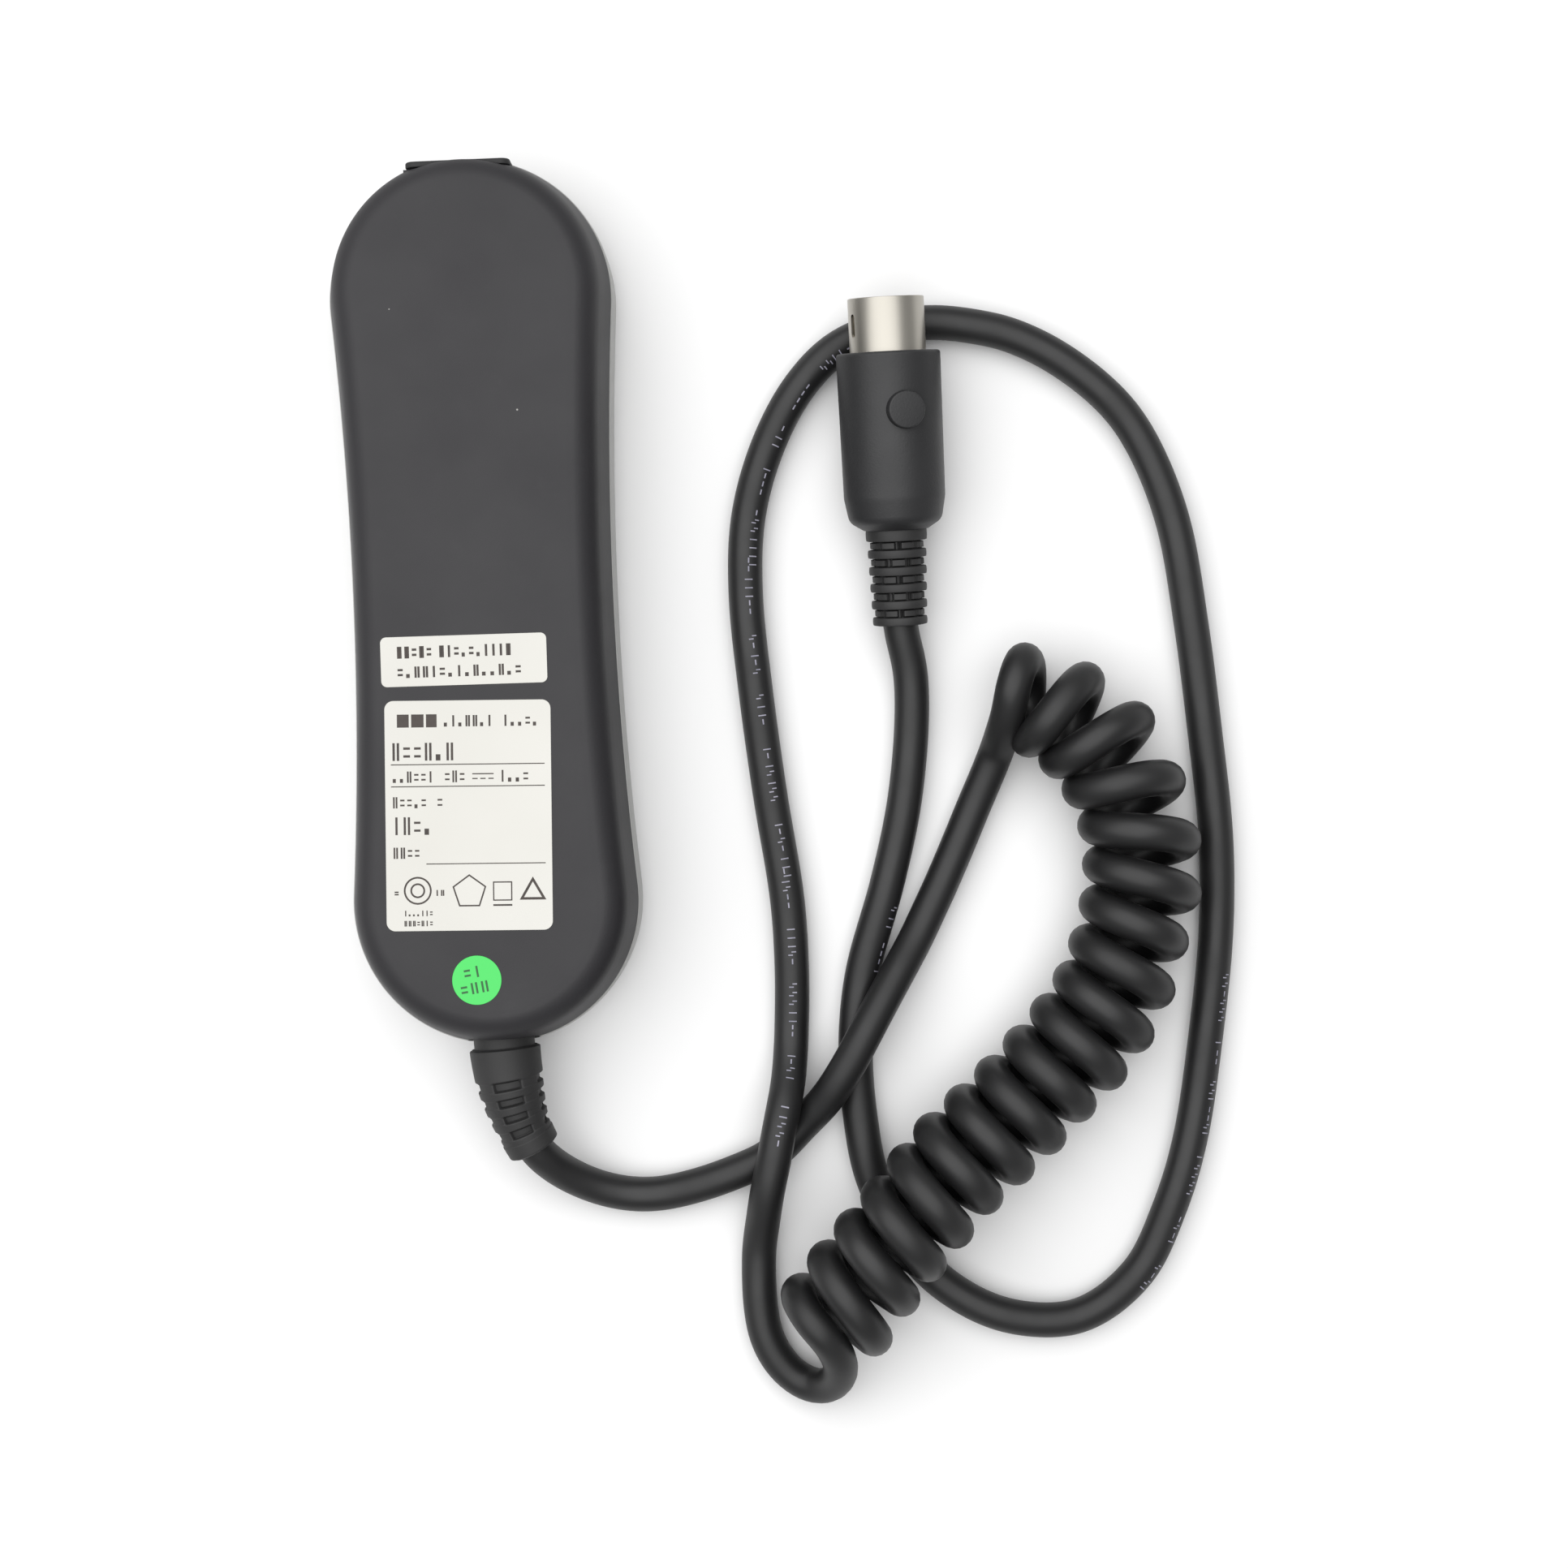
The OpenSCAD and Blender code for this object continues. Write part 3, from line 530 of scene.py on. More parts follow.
def arc_near(x, y, lo=0.0, hi=1e9):
    k = np.where((arc >= lo) & (arc <= hi))[0]
    return float(arc[k[np.argmin((line[k, 0] - x) ** 2 + (line[k, 1] - y) ** 2)]])


s_tail = arc_near(42.4, -120.4)
runs = [legend(arc_near(46.3, -96, s_tail), arc_near(50.2, -54, s_tail), 3, 1),
        legend(arc_near(50.0, -50, s_tail), arc_near(45.2, 2, s_tail), 12, 2),
        legend(arc_near(45.3, 5, s_tail), arc_near(63.5, 44.0, s_tail), 27, 3),
        legend(arc_near(124.4, -70, s_tail), arc_near(108, -123.5, s_tail), -42, 4),
        legend(arc_near(61.4, -78, s_tail), arc_near(67, -55, s_tail), 50, 5)]
v, f = merge(*runs)
legend_ob = build("cord_legend", v, f, M_LEGEND, smooth=30)

# ------------------------------------------------------------------ strain relief of the handset
rp = resample(spline(RELIEF, 12), 0.1)
rp = smooth_line(rp, 12)
start = 1.15
rp = rp[int(start / 0.1):]
rs = np.r_[0, np.cumsum(np.linalg.norm(np.diff(rp, axis=0), axis=1))]
RL = rs[-1]


def step(x, a, b):
    t = np.clip((x - a) / (b - a), 0, 1)
    return t * t * (3 - 2 * t)


def window(x, a, b, w):
    return step(x, a - w / 2, a + w / 2) * (1 - step(x, b - w / 2, b + w / 2))


def relief_radius(s, th):
    r = np.interp(s, [0, 5.2, 9.0, 12.0, 15.0, RL], [6.15, 5.92, 5.45, 5.05, 4.62, 4.42]) + 0 * th
    # four pockets a groove: upper, lower and one each side, with webs between
    deg = (np.degrees(th) + 360) % 360
    pocket = 0
    for c, half in ((0, 25), (90, 27), (180, 25), (270, 27), (360, 25)):
        pocket = pocket + window(deg, c - half, c + half, 3.0)
    web = 1 - np.clip(pocket, 0, 1)
    for a, b in ((5.35, 6.75), (8.15, 9.45), (10.95, 12.15), (13.6, 14.95)):
        g = window(s, a, b, 0.14)
        r = r - g * (0.75 * (1 - web) + 0.10 * web)
        r = r - 0.16 * (1 - step(np.abs(s - a), 0.05, 0.22)) * (1 - web) - 0.10 * (1 - step(np.abs(s - b), 0.05, 0.2)) * (1 - web)
    # step up to the end collar, rounded ends
    r = r + 0.16 * step(s, RL - 2.75, RL - 2.60)
    r = r - 0.50 * (1 - step(s, 0.0, 0.45)) ** 2 - 0.55 * step(s, RL - 0.5, RL) ** 2
    return r


ns = int(RL / (0.085)) + 1
s_grid = np.linspace(0, RL, ns)
C = np.stack([np.interp(s_grid, rs, rp[:, k]) for k in range(3)], 1)
t_, n_, b_ = frames_along(C)
NT = 168
th2 = np.linspace(0, 2 * np.pi, NT, endpoint=False)
rings = []
neck = []
for r_, back in ((3.0, 4.6), (5.25, 4.6), (5.25, 0.0)):
    neck.append(C[0] - t_[0] * back + r_ * (np.outer(np.cos(th2), n_[0]) + np.outer(np.sin(th2), b_[0])))
for i in range(ns):
    rr = relief_radius(np.full(NT, s_grid[i]), th2)
    rings.append(C[i] + rr[:, None] * (np.outer(np.cos(th2), n_[i]) + np.outer(np.sin(th2), b_[i])))
end_ = [C[-1] + q * (np.outer(np.cos(th2), n_[-1]) + np.outer(np.sin(th2), b_[-1])) for q in (3.5, 3.2)]
end_[1] = end_[1] - t_[-1] * 0.35
v, f = ring_solid(neck + rings + end_)
relief = build("handset_relief", v, f, M_RELIEF, rep=("handset_strain_relief",), smooth=40)

# ------------------------------------------------------------------ handset outline
HR, HC, TR, TC, WR = 24.6, 52.1, 24.9, 51.8, 650.0
YC = ((HC ** 2 - TC ** 2) - (HR - TR) * (HR + TR + 2 * WR)) / (2 * (HC + TC))
XS = math.sqrt((HR + WR) ** 2 - (HC - YC) ** 2)
PH, PT = math.atan2(YC - HC, XS), math.atan2(YC + TC, XS)


def outline(d, k=1):
    """The handset's outline, anticlockwise, moved in by d: the same number of points in the same order for any d."""
    n_end, n_side = ((132, 110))
    out = []
    for a in np.linspace(PH, math.pi - PH, n_end, endpoint=False):
        out.append((math.cos(a) * (HR - d), HC + math.sin(a) * (HR - d)))
    for a in np.linspace(-PH, -PT, n_side, endpoint=False):
        out.append((-XS + math.cos(a) * (WR + d), YC + math.sin(a) * (WR + d)))
    for a in np.linspace(math.pi - PT, 2 * math.pi + PT, n_end, endpoint=False):
        out.append((math.cos(a) * (TR - d), -TC + math.sin(a) * (TR - d)))
    for a in np.linspace(math.pi + PT, math.pi + PH, n_side, endpoint=False):
        out.append((XS + math.cos(a) * (WR + d), YC + math.sin(a) * (WR + d)))
    return np.array(out)


def loft(levels):
    """Closed solid through (inset, z) levels of the outline, in order."""
    return ring_solid([at_z(outline(d), z) for d, z in levels])


# rear shell: from the middle of its top, over the rounded edge, down the drafted side, round the lip, up inside
edge = profile([(0.35, 12.3), (0.75, 14.6), (1.15, 16.9), (1.55, 19.2), (1.95, 21.0), (2.5, 22.3), (3.3, 23.3), (4.3, 24.0), (5.4, 24.4), (6.6, 24.5)],
               7)
edge = [tuple(q) for q in edge]
outer = [(9.0, 24.5), (7.2, 24.5)] + edge[::-1] + [(0.42, 12.16), (0.62, 12.1)]
inner = [(2.4, 12.1), (2.5, 12.02), (2.5, 11.6), (2.15, 11.3), (2.15, 10.9), (2.5, 10.62), (3.4, 10.6), (3.5, 10.7), (3.5, 13.6),
         (2.7, 13.6), (3.4, 20.6), (5.2, 20.6), (5.2, 22.5), (6.0, 22.5)]
v, f = loft(outer + inner)
rear = build("rear_cover", v, f, M_REAR, rep=("rear_shell",), smooth=35)
boolean(rear, [tool(*box_mesh(-9.6, 8.8, 71.0, 73.4, 11.2, 21.2))], "UNION")
cut = [tool(*box_mesh(-6.8, 6.8, 66, 80, 14.3, 20.7)), tool(*box_mesh(-9.7, 8.9, 73.0, 80, 10, 22.3)),
       tool(*lathe([(6.2, -80), (6.2, -72)], 96, "y", (0.3, 0, 12))), tool(*lathe([(7.4, -72.4), (7.4, -69.4)], 96, "y", (0.3, 0, 12)))]
boolean(rear, cut)

# front shell: rim, outside, rounded foot, recess, and the inside
foot = profile([(0.15, 11.8), (0.0, 9.0), (0.0, 5.0), (0.04, 3.0), (0.35, 1.4), (1.05, 0.5), (2.1, 0.06), (2.9, 0.0)], 7)
foot = [tuple((max(0.0, q[0]), max(0.0, q[1]))) for q in foot]
front_levels = [(2.3, 12.0), (0.32, 12.0), (0.2, 11.93)] + foot + [(3.45, 0.0), (3.8, 0.06), (3.96, 0.22), (4.0, 0.5), (4.0, 2.2), (4.4, 2.2)]
front_in = [(5.0, 4.2), (2.4, 4.2), (2.4, 10.85), (2.0, 11.1), (2.0, 11.6), (2.4, 11.8)]
# one closed skin: floor of the recess is the first cap, floor of the inside the last
v, f = loft((front_levels[::-1]) + front_in[::-1])
front = build("front_cover", v, f, M_FRONT, rep=("front_shell",), smooth=35)
KEY_POS = [(-9.5, 40), (9.5, 40), (-9.5, 14), (9.5, 14), (-9.5, -12), (9.5, -12)]
cut = [tool(*prism(round_rect(15.6, 18.6, 4.3, c=p), 1.5, 6)) for p in KEY_POS]
cut += [tool(*lathe([(6.2, -80), (6.2, -72.6)], 96, "y", (0.3, 0, 12)))]
boolean(front, cut)
posts = [tool(*lathe([(2.5, 4.0), (2.5, 12.8), (2.3, 13.0)], 40, "z", (x, y, 0))) for x, y in ((-13.5, 58), (13.5, 58), (-13.5, -36), (13.5, -36))]
posts += [tool(*lathe([(2.3, 4.0), (2.3, 11.8), (2.1, 12.0)], 40, "z", (x, y, 0))) for x, y in ((-8.2, -66), (8.8, -66))]
posts += [tool(*box_mesh(-4.7, 5.3, -69, -63, 4.0, 12.0))]
boolean(front, posts, "UNION")
holes = [tool(*lathe([(1.1, 5.5), (1.1, 14.5)], 24, "z", (x, y, 0))) for x, y in
         ((-13.5, 58), (13.5, 58), (-13.5, -36), (13.5, -36), (-8.2, -66), (8.8, -66))]
holes += [tool(*lathe([(3.1, -71), (3.1, -62)], 48, "y", (0.3, 0, 12)))]
boolean(front, holes)

# keypad panel: a thin plate in the recess, its edge and its key openings eased
v, f = loft([(5.2, 1.2), (4.45, 1.2), (4.25, 1.26), (4.15, 1.42), (4.15, 2.2), (5.2, 2.2)])
panel = build("keypad_plate", v, f, M_PANEL, rep=("keypad_panel",), smooth=35)
cut = []
for p in KEY_POS:
    cut.append(tool(*ring_solid([at_z(round_rect(16.3, 19.3, 4.65, c=p), 1.0), at_z(round_rect(16.1, 19.1, 4.55, c=p), 1.2),
                                 at_z(round_rect(15.6, 18.6, 4.3, c=p), 1.5), at_z(round_rect(15.6, 18.6, 4.3, c=p), 4)])))
boolean(panel, cut)

# keys: crowned caps with a shallow dish, a flange inside the shell and a stem, and a plain arrow on each
def key_rings(c):
    out = []
    n = 12
    def rr(w, h, r, z):
        return at_z(round_rect(w, h, r, n, c), z)
    for k, z in ((0.12, 0.86), (0.35, 0.84), (0.6, 0.76), (0.8, 0.64)):
        out.append(rr(15 * k, 18 * k, 4 * k, z))
    for a in np.linspace(90, 0, 9):
        q = 0.75 * (1 - math.cos(math.radians(a)))
        z = 0.5 + 0.75 * (1 - math.sin(math.radians(a)))
        e = 0.75 - 0.75 * math.cos(math.radians(a))
        out.append(rr(15 - 2 * (0.75 - 0.75 * math.cos(math.radians(a))), 18 - 2 * (0.75 - 0.75 * math.cos(math.radians(a))), max(0.4, 4 - e), z))
    out += [rr(15, 18, 4, 4.5), rr(17.3, 20.3, 4.5, 4.5), rr(17.4, 20.4, 4.5, 4.55), rr(17.4, 20.4, 4.5, 5.65), rr(17.2, 20.2, 4.4, 5.7), rr(6.2, 6.2, 3.0, 5.7),
            rr(5.98, 5.98, 2.98, 5.75), rr(5.98, 5.98, 2.98, 6.7), rr(5.8, 5.8, 2.88, 6.8)]
    return out


for i, p in enumerate(KEY_POS):
    rings = key_rings(p)
    v, f = ring_solid(rings)
    build("key_cap_%d" % (i + 1), v, f, M_KEY, body="key_%d_unit" % (i + 1), rep=("key_%d" % (i + 1),), smooth=40)
    # arrow up in one column and down in the other, with a bar under it: printed, a hair proud of the dish
    d = 1 if i % 2 == 0 else -1
    tri = np.array([(0, 3.6 * d), (-2.9 * d, -0.4 * d), (2.9 * d, -0.4 * d)])
    bars = [tri]
    w = 2.9
    for k in range(i // 2 + 1):
        y0 = (-1.6 - 1.5 * k) * d
        bars.append(np.array([(-w, y0), (-w, y0 - 0.75 * d), (w, y0 - 0.75 * d), (w, y0)]))
    parts = []
    for b in bars:
        b = b + np.array(p)
        parts.append(prism(b, 0.74, 0.90))
    v, f = merge(*parts)
    build("key_arrow_%d" % (i + 1), v, f, M_MARK, body="key_%d_unit" % (i + 1), smooth=30)

# port cover: a soft cap with rounded corners and its hinge bead
def cover_outline(ins):
    return round_rect(17.8 - 2 * ins, 9.3 - 2 * ins, max(0.3, 1.6 - ins), 10)


rings = []
for ins, y in ((1.6, 73.3), (0.25, 73.3), (0.06, 73.36), (0.0, 73.5), (0.0, 74.25), (0.08, 74.48), (0.25, 74.62), (0.6, 74.68), (3.4, 74.7)):
    o = cover_outline(ins)
    z = o[:, 1] + 17.25
    # the outer face leans in towards its top, like the end of the shell
    rings.append(np.column_stack([o[:, 0] - 0.4, 73.3 + (y - 73.3) * (1.0 - 0.028 * (z - 12.6)), z]))
v, f = ring_solid(rings)
cover = build("port_cap", v, f, M_COVER, body="port_cover", rep=("usb_cover",), smooth=40)
bead = tool(*lathe([(0.55, -8.7), (0.68, -8.55), (0.68, 8.55), (0.55, 8.7)], 32, "y"))
bead.rotation_euler = (0, 0, math.radians(90))
bead.location = (-0.0004, 0.0740, 0.01308)
boolean(cover, [bead], "UNION", 40)
bpy.context.view_layer.update()

# ------------------------------------------------------------------ labels
def place(pts, c, rot):
    a = math.radians(rot)
    p = np.array(pts, float)
    return np.column_stack([c[0] + p[:, 0] * math.cos(a) - p[:, 1] * math.sin(a), c[1] + p[:, 0] * math.sin(a) + p[:, 1] * math.cos(a)])


def film(name, outline_fn, top, mat, rep):
    rings = [at_z(outline_fn(0.4), 24.505), at_z(outline_fn(0.0), 24.505), at_z(outline_fn(0.0), top - 0.03), at_z(outline_fn(0.04), top), at_z(outline_fn(0.6), top)]
    v, f = ring_solid(rings)
    return build(name, v, f, mat, rep=rep, smooth=30)


def ink(name, shapes, top, mat):
    """Thin printed shapes; each is a convex outline, or a pair (outer, inner) for a ring."""
    parts = []
    for s in shapes:
        if isinstance(s, tuple):
            a, b = s
            parts.append(ring_solid([at_z(b, top - 0.01), at_z(a, top - 0.01), at_z(a, top + 0.012), at_z(b, top + 0.012), at_z(b, top - 0.01)], (False, False)))
        else:
            parts.append(prism(s, top - 0.01, top + 0.012))
    v, f = merge(*parts)
    return build(name, v, f, mat, smooth=30)


def rect(u0, u1, v0, v1):
    return [(u0, v0), (u1, v0), (u1, v1), (u0, v1)]


def strokes(u0, u1, v0, h, cell, w, seed, gap=0.45):
    """A line of print shown as plain upright strokes and dots, without letters."""
    rnd = np.random.default_rng(seed)
    out = []
    w *= 1.35
    u = u0
    while u + cell * 0.8 < u1:
        k = int(rnd.integers(0, 4))
        cw = cell * 0.62
        if k == 0:
            out += [rect(u, u + w, v0, v0 + h), rect(u + cw - w, u + cw, v0, v0 + h)]
        elif k == 1:
            out += [rect(u, u + cw * 0.7, v0, v0 + h * 0.35)]
        elif k == 2:
            out += [rect(u, u + cw, v0 + h * 0.62, v0 + h * 0.62 + w), rect(u, u + cw, v0 + h * 0.18, v0 + h * 0.18 + w)]
        else:
            out += [rect(u + cw / 2 - w / 2, u + cw / 2 + w / 2, v0, v0 + h)]
        u += cell
        if rnd.random() < gap * 0.3:
            u += cell * 0.7
    return out


def circle(u, v, r, n=40):
    a = np.linspace(0, 2 * np.pi, n, endpoint=False)
    return [(u + r * math.cos(x), v + r * math.sin(x)) for x in a]


def ngon(u, v, r, n, turn=90):
    a = np.radians(turn) + np.linspace(0, 2 * np.pi, n, endpoint=False)
    return [(u + r * math.cos(x), v + r * math.sin(x)) for x in a]


ML, MROT, RLc, RROT = (-2.5, -10.6), -0.6, (-2.8, -36.8), -1.8
TOP = 24.6
film("label_small", lambda i: place(round_rect(28 - 2 * i, 8.4 - 2 * i, 1.0 - min(i, 0.5), 8), ML, MROT), TOP, M_LABEL, ("model_label",))
film("label_large", lambda i: place(round_rect(28 - 2 * i, 38.8 - 2 * i, 1.5 - min(i, 0.7), 10), RLc, RROT), TOP, M_LABEL, ("rating_label",))
sh = strokes(-11.2, 9.4, 0.55, 2.0, 1.25, 0.30, 11) + strokes(-11.2, 10.6, -2.75, 1.9, 1.42, 0.28, 12, 0.0)
ink("label_small_print", [place(s, ML, MROT) for s in sh], TOP, M_INK)
sh = []
sh += [rect(-11.9, -9.9, 14.9, 17.1), rect(-9.5, -7.4, 14.9, 17.1), rect(-7.0, -5.2, 14.9, 17.1)]
sh += strokes(-4.0, 4.7, 15.0, 1.9, 1.22, 0.24, 21, 0.0) + strokes(6.0, 12.6, 15.0, 1.9, 1.25, 0.24, 22, 0.0)
sh += strokes(-12.7, -1.6, 9.3, 3.0, 1.82, 0.30, 23, 0.0)
sh += [rect(-13.0, 12.9, 8.55, 8.72), rect(-13.0, 12.9, 4.85, 5.02)]
sh += strokes(-12.7, -5.2, 5.6, 1.9, 1.2, 0.22, 24, 0.0) + strokes(-3.9, 0.0, 5.6, 2.0, 1.25, 0.22, 25, 0.0)
sh += [rect(0.7, 4.3, 6.9, 7.1), rect(0.7, 1.6, 6.1, 6.3), rect(2.05, 2.95, 6.1, 6.3), rect(3.4, 4.3, 6.1, 6.3)] + strokes(5.4, 10.6, 5.6, 2.0, 1.3, 0.22, 26, 0.0)
sh += strokes(-12.7, -6.4, 1.3, 1.9, 1.2, 0.22, 27, 0.0) + strokes(-5.2, -3.7, 1.3, 2.0, 1.3, 0.22, 28, 0.0)
sh += strokes(-12.7, -6.0, -3.2, 3.0, 1.75, 0.28, 29, 0.0)
sh += strokes(-12.7, -7.6, -7.2, 1.9, 1.2, 0.22, 30, 0.0) + [rect(-7.2, 12.9, -8.2, -8.03)]
flat = [place(s, RLc, RROT) for s in sh]
ringy = [(circle(-8.7, -12.6, 2.35), circle(-8.7, -12.6, 2.05)), (circle(-8.7, -12.6, 1.25), circle(-8.7, -12.6, 0.95)),
         (ngon(0.0, -12.9, 3.0, 5), ngon(0.0, -12.9, 2.68, 5)), (ngon(5.6, -12.8, 2.3, 4, 45), ngon(5.6, -12.8, 2.0, 4, 45)),
         (ngon(10.7, -13.0, 2.6, 3), ngon(10.7, -13.0, 1.75, 3))]
flat += [(place(a, RLc, RROT), place(b, RLc, RROT)) for a, b in ringy]
sh = [rect(4.0, 7.2, -15.3, -15.0)] + strokes(-12.6, -11.4, -13.5, 0.9, 1.1, 0.18, 31, 0.0) + strokes(-5.7, -4.0, -13.5, 1.0, 0.9, 0.18, 32, 0.0)
sh += strokes(-11.0, -6.0, -16.9, 0.95, 0.72, 0.15, 33, 0.0) + strokes(-11.0, -5.7, -18.6, 0.95, 0.72, 0.15, 34, 0.0)
flat += [place(s, RLc, RROT) for s in sh]
ink("label_large_print", flat, TOP, M_INK)
SC = (-2.6, -64.6)
film("sticker_round", lambda i: place(circle(0, 0, 4.15 - i, 72), SC, 0), 24.585, M_STICKER, ("inspection_sticker",))
sh = strokes(-1.9, 1.9, 0.5, 1.9, 1.7, 0.26, 41, 0.0) + strokes(-2.9, 2.9, -2.2, 1.9, 1.75, 0.26, 44, 0.0)
ink("sticker_print", [place(s, SC, 8) for s in sh], 24.585, M_STICKER_INK)

# ------------------------------------------------------------------ plug
PLUG = Matrix.Translation(Vector((71.9, 9.7, 8.2))) @ Matrix.Rotation(math.radians(0.5), 4, "Z") @ Matrix.Rotation(math.radians(7.3), 4, "X")
PM = np.array(PLUG)


def plug_mesh(v):
    return np.asarray(v, float) @ PM[:3, :3].T + PM[:3, 3]


def turned(v, deg):
    a = math.radians(deg)
    v = np.asarray(v, float)
    return np.column_stack([v[:, 0] * math.cos(a) + v[:, 2] * math.sin(a), v[:, 1], -v[:, 0] * math.sin(a) + v[:, 2] * math.cos(a)])


grip = fillet_poly([(3.0, 0.35, 0), (3.2, 0.0, 0), (5.6, 0.0, 0.3), (8.05, 1.5, 2.2), (8.82, 5.6, 6.0), (9.03, 29.9, 0.0)], 8)
grip = [tuple(q) for q in grip] + [(9.03, 30.1), (8.98, 30.32), (8.86, 30.48), (8.68, 30.58), (8.45, 30.6), (6.95, 30.6), (6.72, 30.5), (6.68, 30.3), (6.68, 21.0), (3.0, 21.0)]
v, f = lathe(grip, 160, "y")
body_ob = build("plug_grip", plug_mesh(v), f, M_GRIP, rep=("plug_body",), smooth=40)
dot = fillet_poly([(3.28, 7.6, 0), (3.28, 8.9, 0), (3.2, 10.05, 0.3), (0.0, 10.16, 0)], 6)
v, f = lathe([tuple(q) for q in dot], 64, "z", (0, 0, 0))
v = turned(v + np.array([0, 20.6, 0]), 14)
boolean(body_ob, [tool(plug_mesh(v), f)], "UNION", 40)
shield = [(6.2, 21.1), (6.6, 21.1), (6.6, 39.72), (6.55, 39.85), (6.42, 39.9), (6.25, 39.86), (6.2, 39.75), (6.2, 21.1)]
v, f = lathe(shield, 192, "y")
f = f[: (len(shield) - 1) * 192]
shield_ob = build("plug_sleeve", plug_mesh(v), f, M_NICKEL, rep=("plug_shield",), smooth=35)
bm = bmesh.new()
bm.from_mesh(shield_ob.data)
bmesh.ops.remove_doubles(bm, verts=bm.verts, dist=1e-6)
bmesh.ops.recalc_face_normals(bm, faces=bm.faces)
bm.to_mesh(shield_ob.data)
bm.free()
slot_o = [(y, z) for y, z in [(33.8 + 0.6 * math.cos(a), 0.2 + 0.6 * math.sin(a)) for a in np.linspace(math.pi / 2, 3 * math.pi / 2, 12)]] + \
         [(y, z) for y, z in [(36.6 + 0.6 * math.cos(a), 0.2 + 0.6 * math.sin(a)) for a in np.linspace(-math.pi / 2, math.pi / 2, 12)]]
v = turned([(x, y, z) for x in (-8.0, -5.0) for y, z in slot_o], 24)
n = len(slot_o)
f = [tuple(range(n)), tuple(range(2 * n - 1, n - 1, -1))] + [(i, (i + 1) % n, n + (i + 1) % n, n + i) for i in range(n)]
boolean(shield_ob, [tool(plug_mesh(v), f)])
ins = [(3.0, 21.1), (6.1, 21.1), (6.1, 30.5), (5.95, 30.7), (0.0, 30.7)]
v, f = lathe(ins, 96, "y")
insert_ob = build("plug_core", plug_mesh(v), f, M_BLACK, rep=("plug_insert",), smooth=35)
parts = []
for i in range(8):
    if i == 0:
        x, z = 0, 0
    else:
        a = math.radians(14 + 45 + 270 * (i - 1) / 7)
        x, z = 3.5 * math.sin(a), 3.5 * math.cos(a)
    parts.append(lathe([(0.0, 22.0), (0.72, 22.0), (0.72, 38.3), (0.66, 38.7), (0.5, 39.0), (0.25, 39.17), (0.0, 39.2)], 32, "y", (x, 0, z)))
v, f = merge(*parts)
pins_ob = build("plug_contacts", plug_mesh(v), f, M_PIN, rep=("plug_pins",), smooth=40)


# strain relief: collar, then rings with short ribs between them
def boot_radius(y, th):
    base = np.interp(y, [-16.6, -2.0], [3.62, 3.95])
    r = base + 0 * th
    lo = -16.6
    rings_ = [(lo, lo + 1.45, 4.78), (lo + 2.85, lo + 4.35, 4.86), (lo + 5.8, lo + 7.3, 4.95), (lo + 8.75, lo + 10.25, 5.04), (lo + 11.7, lo + 13.2, 5.12),
              (lo + 14.65, 0.3, 5.35)]
    for k in range(5):
        a, b = rings_[k][1], rings_[k + 1][0]
        n = 8
        ph = (th * n / (2 * np.pi) + (0.5 if k % 2 else 0.0)) % 1.0
        rib = window(ph, 0.16, 0.84, 0.07)
        thin = window(ph, 0.0, 0.07, 0.05)
        g = window(y, a + 0.16, b - 0.16, 0.14)
        r = r + g * (rib * (rings_[k][2] - 0.42 - base) + thin * 0.35)
    for a, b, q in rings_:
        w = window(y, a, b, 0.18)
        crown = 0.10 * (1 - ((y - (a + b) / 2) / ((b - a) / 2 + 1e-6)) ** 2)
        r = np.where(w > 0, np.maximum(r, base + w * (q - base + crown - 0.1)), r)
    return r


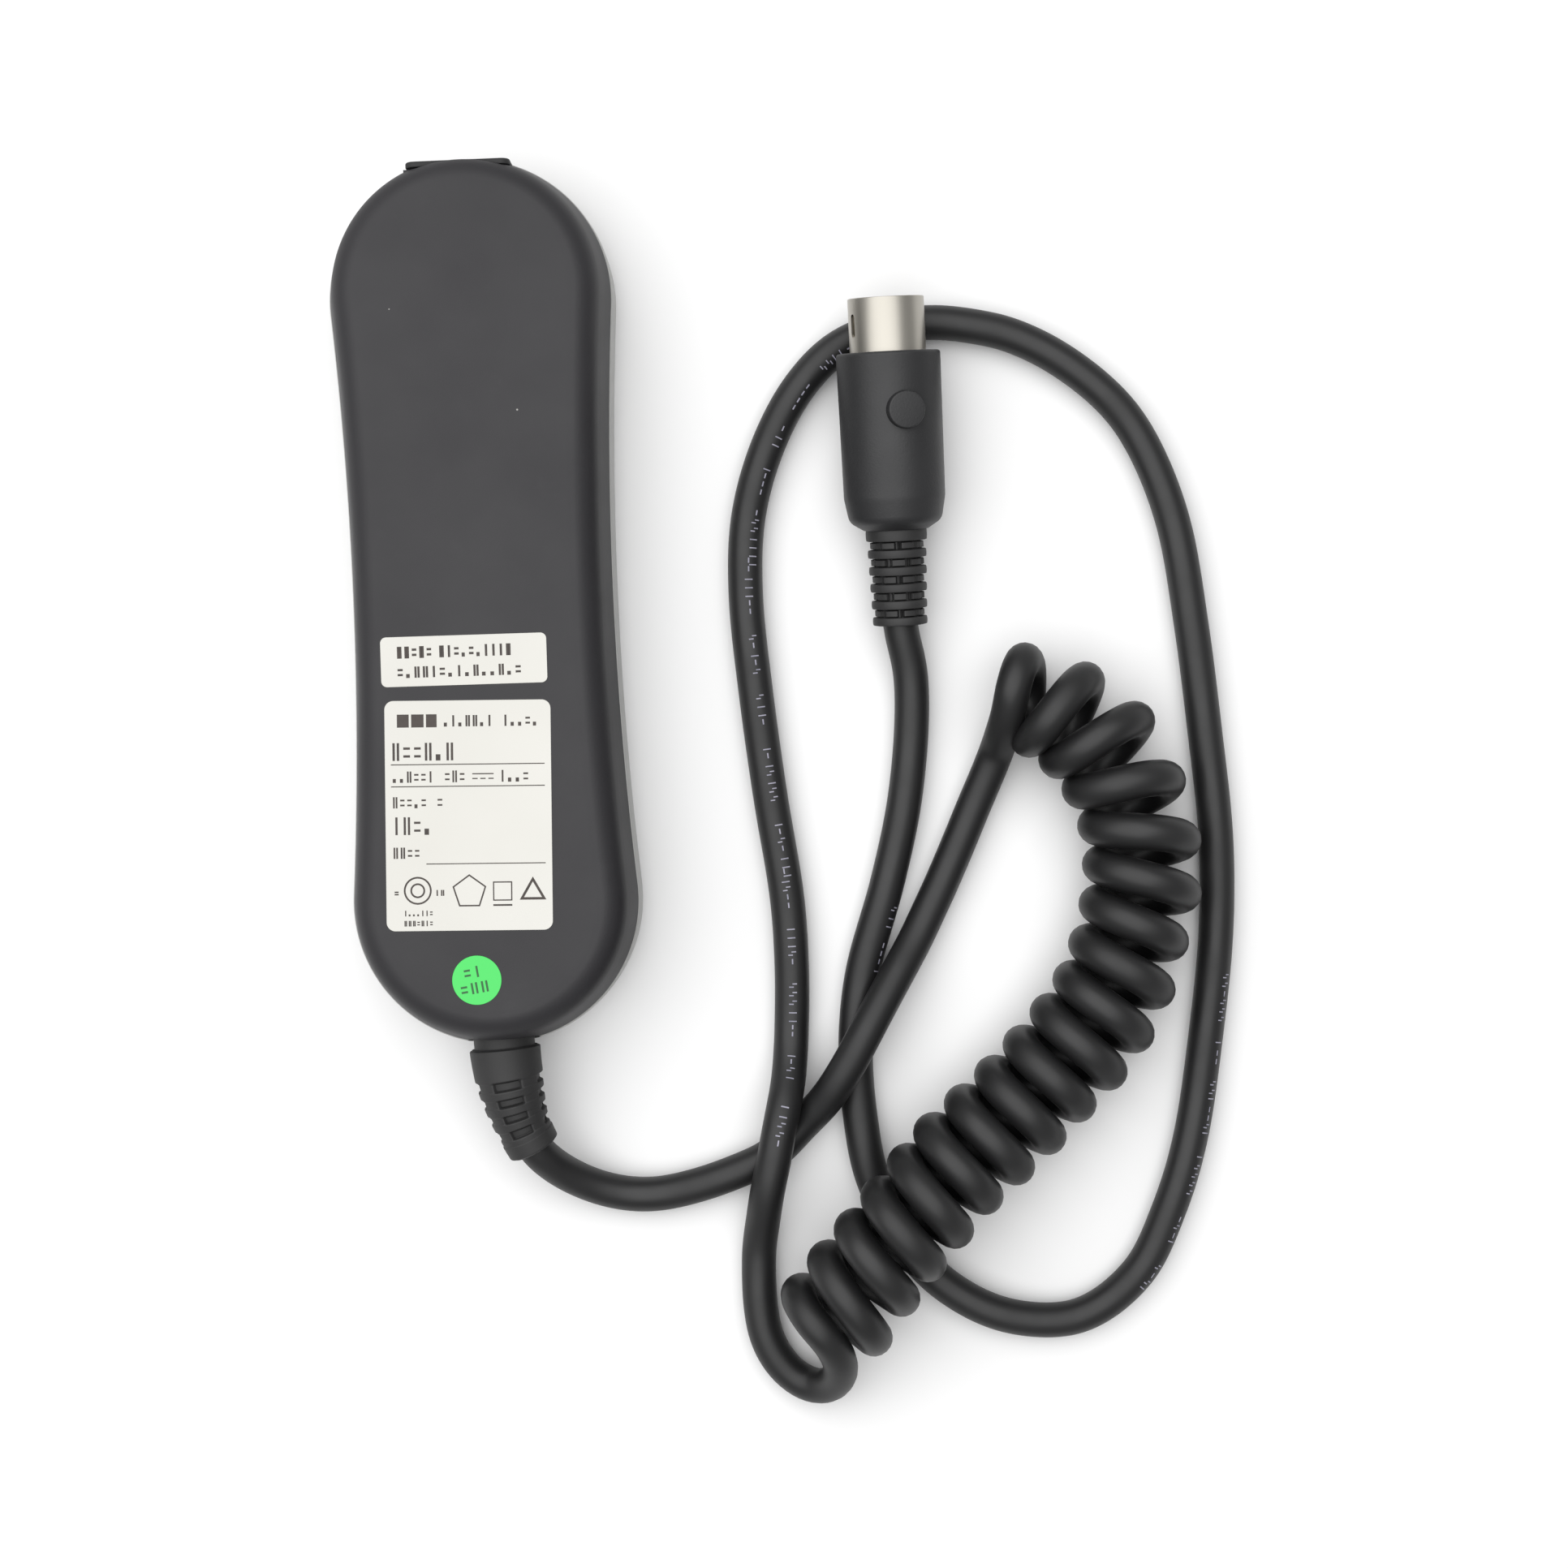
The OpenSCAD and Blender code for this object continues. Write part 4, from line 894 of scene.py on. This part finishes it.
ny = 230
ys = np.linspace(-16.6, -0.02, ny)
NB = 216
th3 = np.linspace(0, 2 * np.pi, NB, endpoint=False)
rings = [np.stack([3.15 * np.sin(th3), np.full(NB, -16.45), 3.15 * np.cos(th3)], 1), np.stack([3.5 * np.sin(th3), np.full(NB, -16.6), 3.5 * np.cos(th3)], 1)]
for k, y in enumerate(ys):
    r = boot_radius(np.full(NB, y), th3)
    if k == 0:
        r = np.full(NB, 4.35)
    if k == 1:
        r = np.maximum(r, 4.55)
    rings.append(np.stack([r * np.sin(th3), np.full(NB, y), r * np.cos(th3)], 1))
v, f = ring_solid(rings)
boot = build("plug_boot", plug_mesh(v), f, M_RELIEF, rep=("plug_strain_relief",), smooth=40)

# ------------------------------------------------------------------ floor, light, world
fl = bpy.data.materials.new("floor_white")
fl.use_nodes = True
fb = fl.node_tree.nodes["Principled BSDF"]
fn = fl.node_tree.nodes.new("ShaderNodeTexNoise")
fn.inputs["Scale"].default_value = 3.0
fr = fl.node_tree.nodes.new("ShaderNodeMapRange")
fr.inputs["To Min"].default_value, fr.inputs["To Max"].default_value = 0.80, 0.90
fl.node_tree.links.new(fn.outputs["Fac"], fr.inputs["Value"])
fl.node_tree.links.new(fr.outputs[0], fb.inputs["Roughness"])
fb.inputs["Base Color"].default_value = (0.86, 0.86, 0.86, 1)
fb.inputs["Specular IOR Level"].default_value = 0.2
v = np.array([(x, y, 0) for x, y in ((-3000, -3000), (3000, -3000), (3000, 3000), (-3000, 3000))], float)
v[:, 2] = -0.03
floor = build("floor", v, [(0, 1, 2, 3)], fl, body=None)

world = bpy.data.worlds.new("World")
scene.world = world
world.use_nodes = True
bg = world.node_tree.nodes["Background"]
bg.inputs[0].default_value = (1.0, 1.0, 1.0, 1)
bg.inputs[1].default_value = 0.34


def area(name, loc, size, power, target=(0.05, -0.03, 0), size_y=None):
    d = bpy.data.lights.new(name, "AREA")
    d.shape = "RECTANGLE"
    d.size, d.size_y = size, size_y or size
    d.energy = power
    o = bpy.data.objects.new(name, d)
    scene.collection.objects.link(o)
    o.location = loc
    o.rotation_euler = (Vector(target) - Vector(loc)).to_track_quat("-Z", "Y").to_euler()
    return o


area("overhead", (-0.28, 0.22, 1.5), 2.7, 47.0)
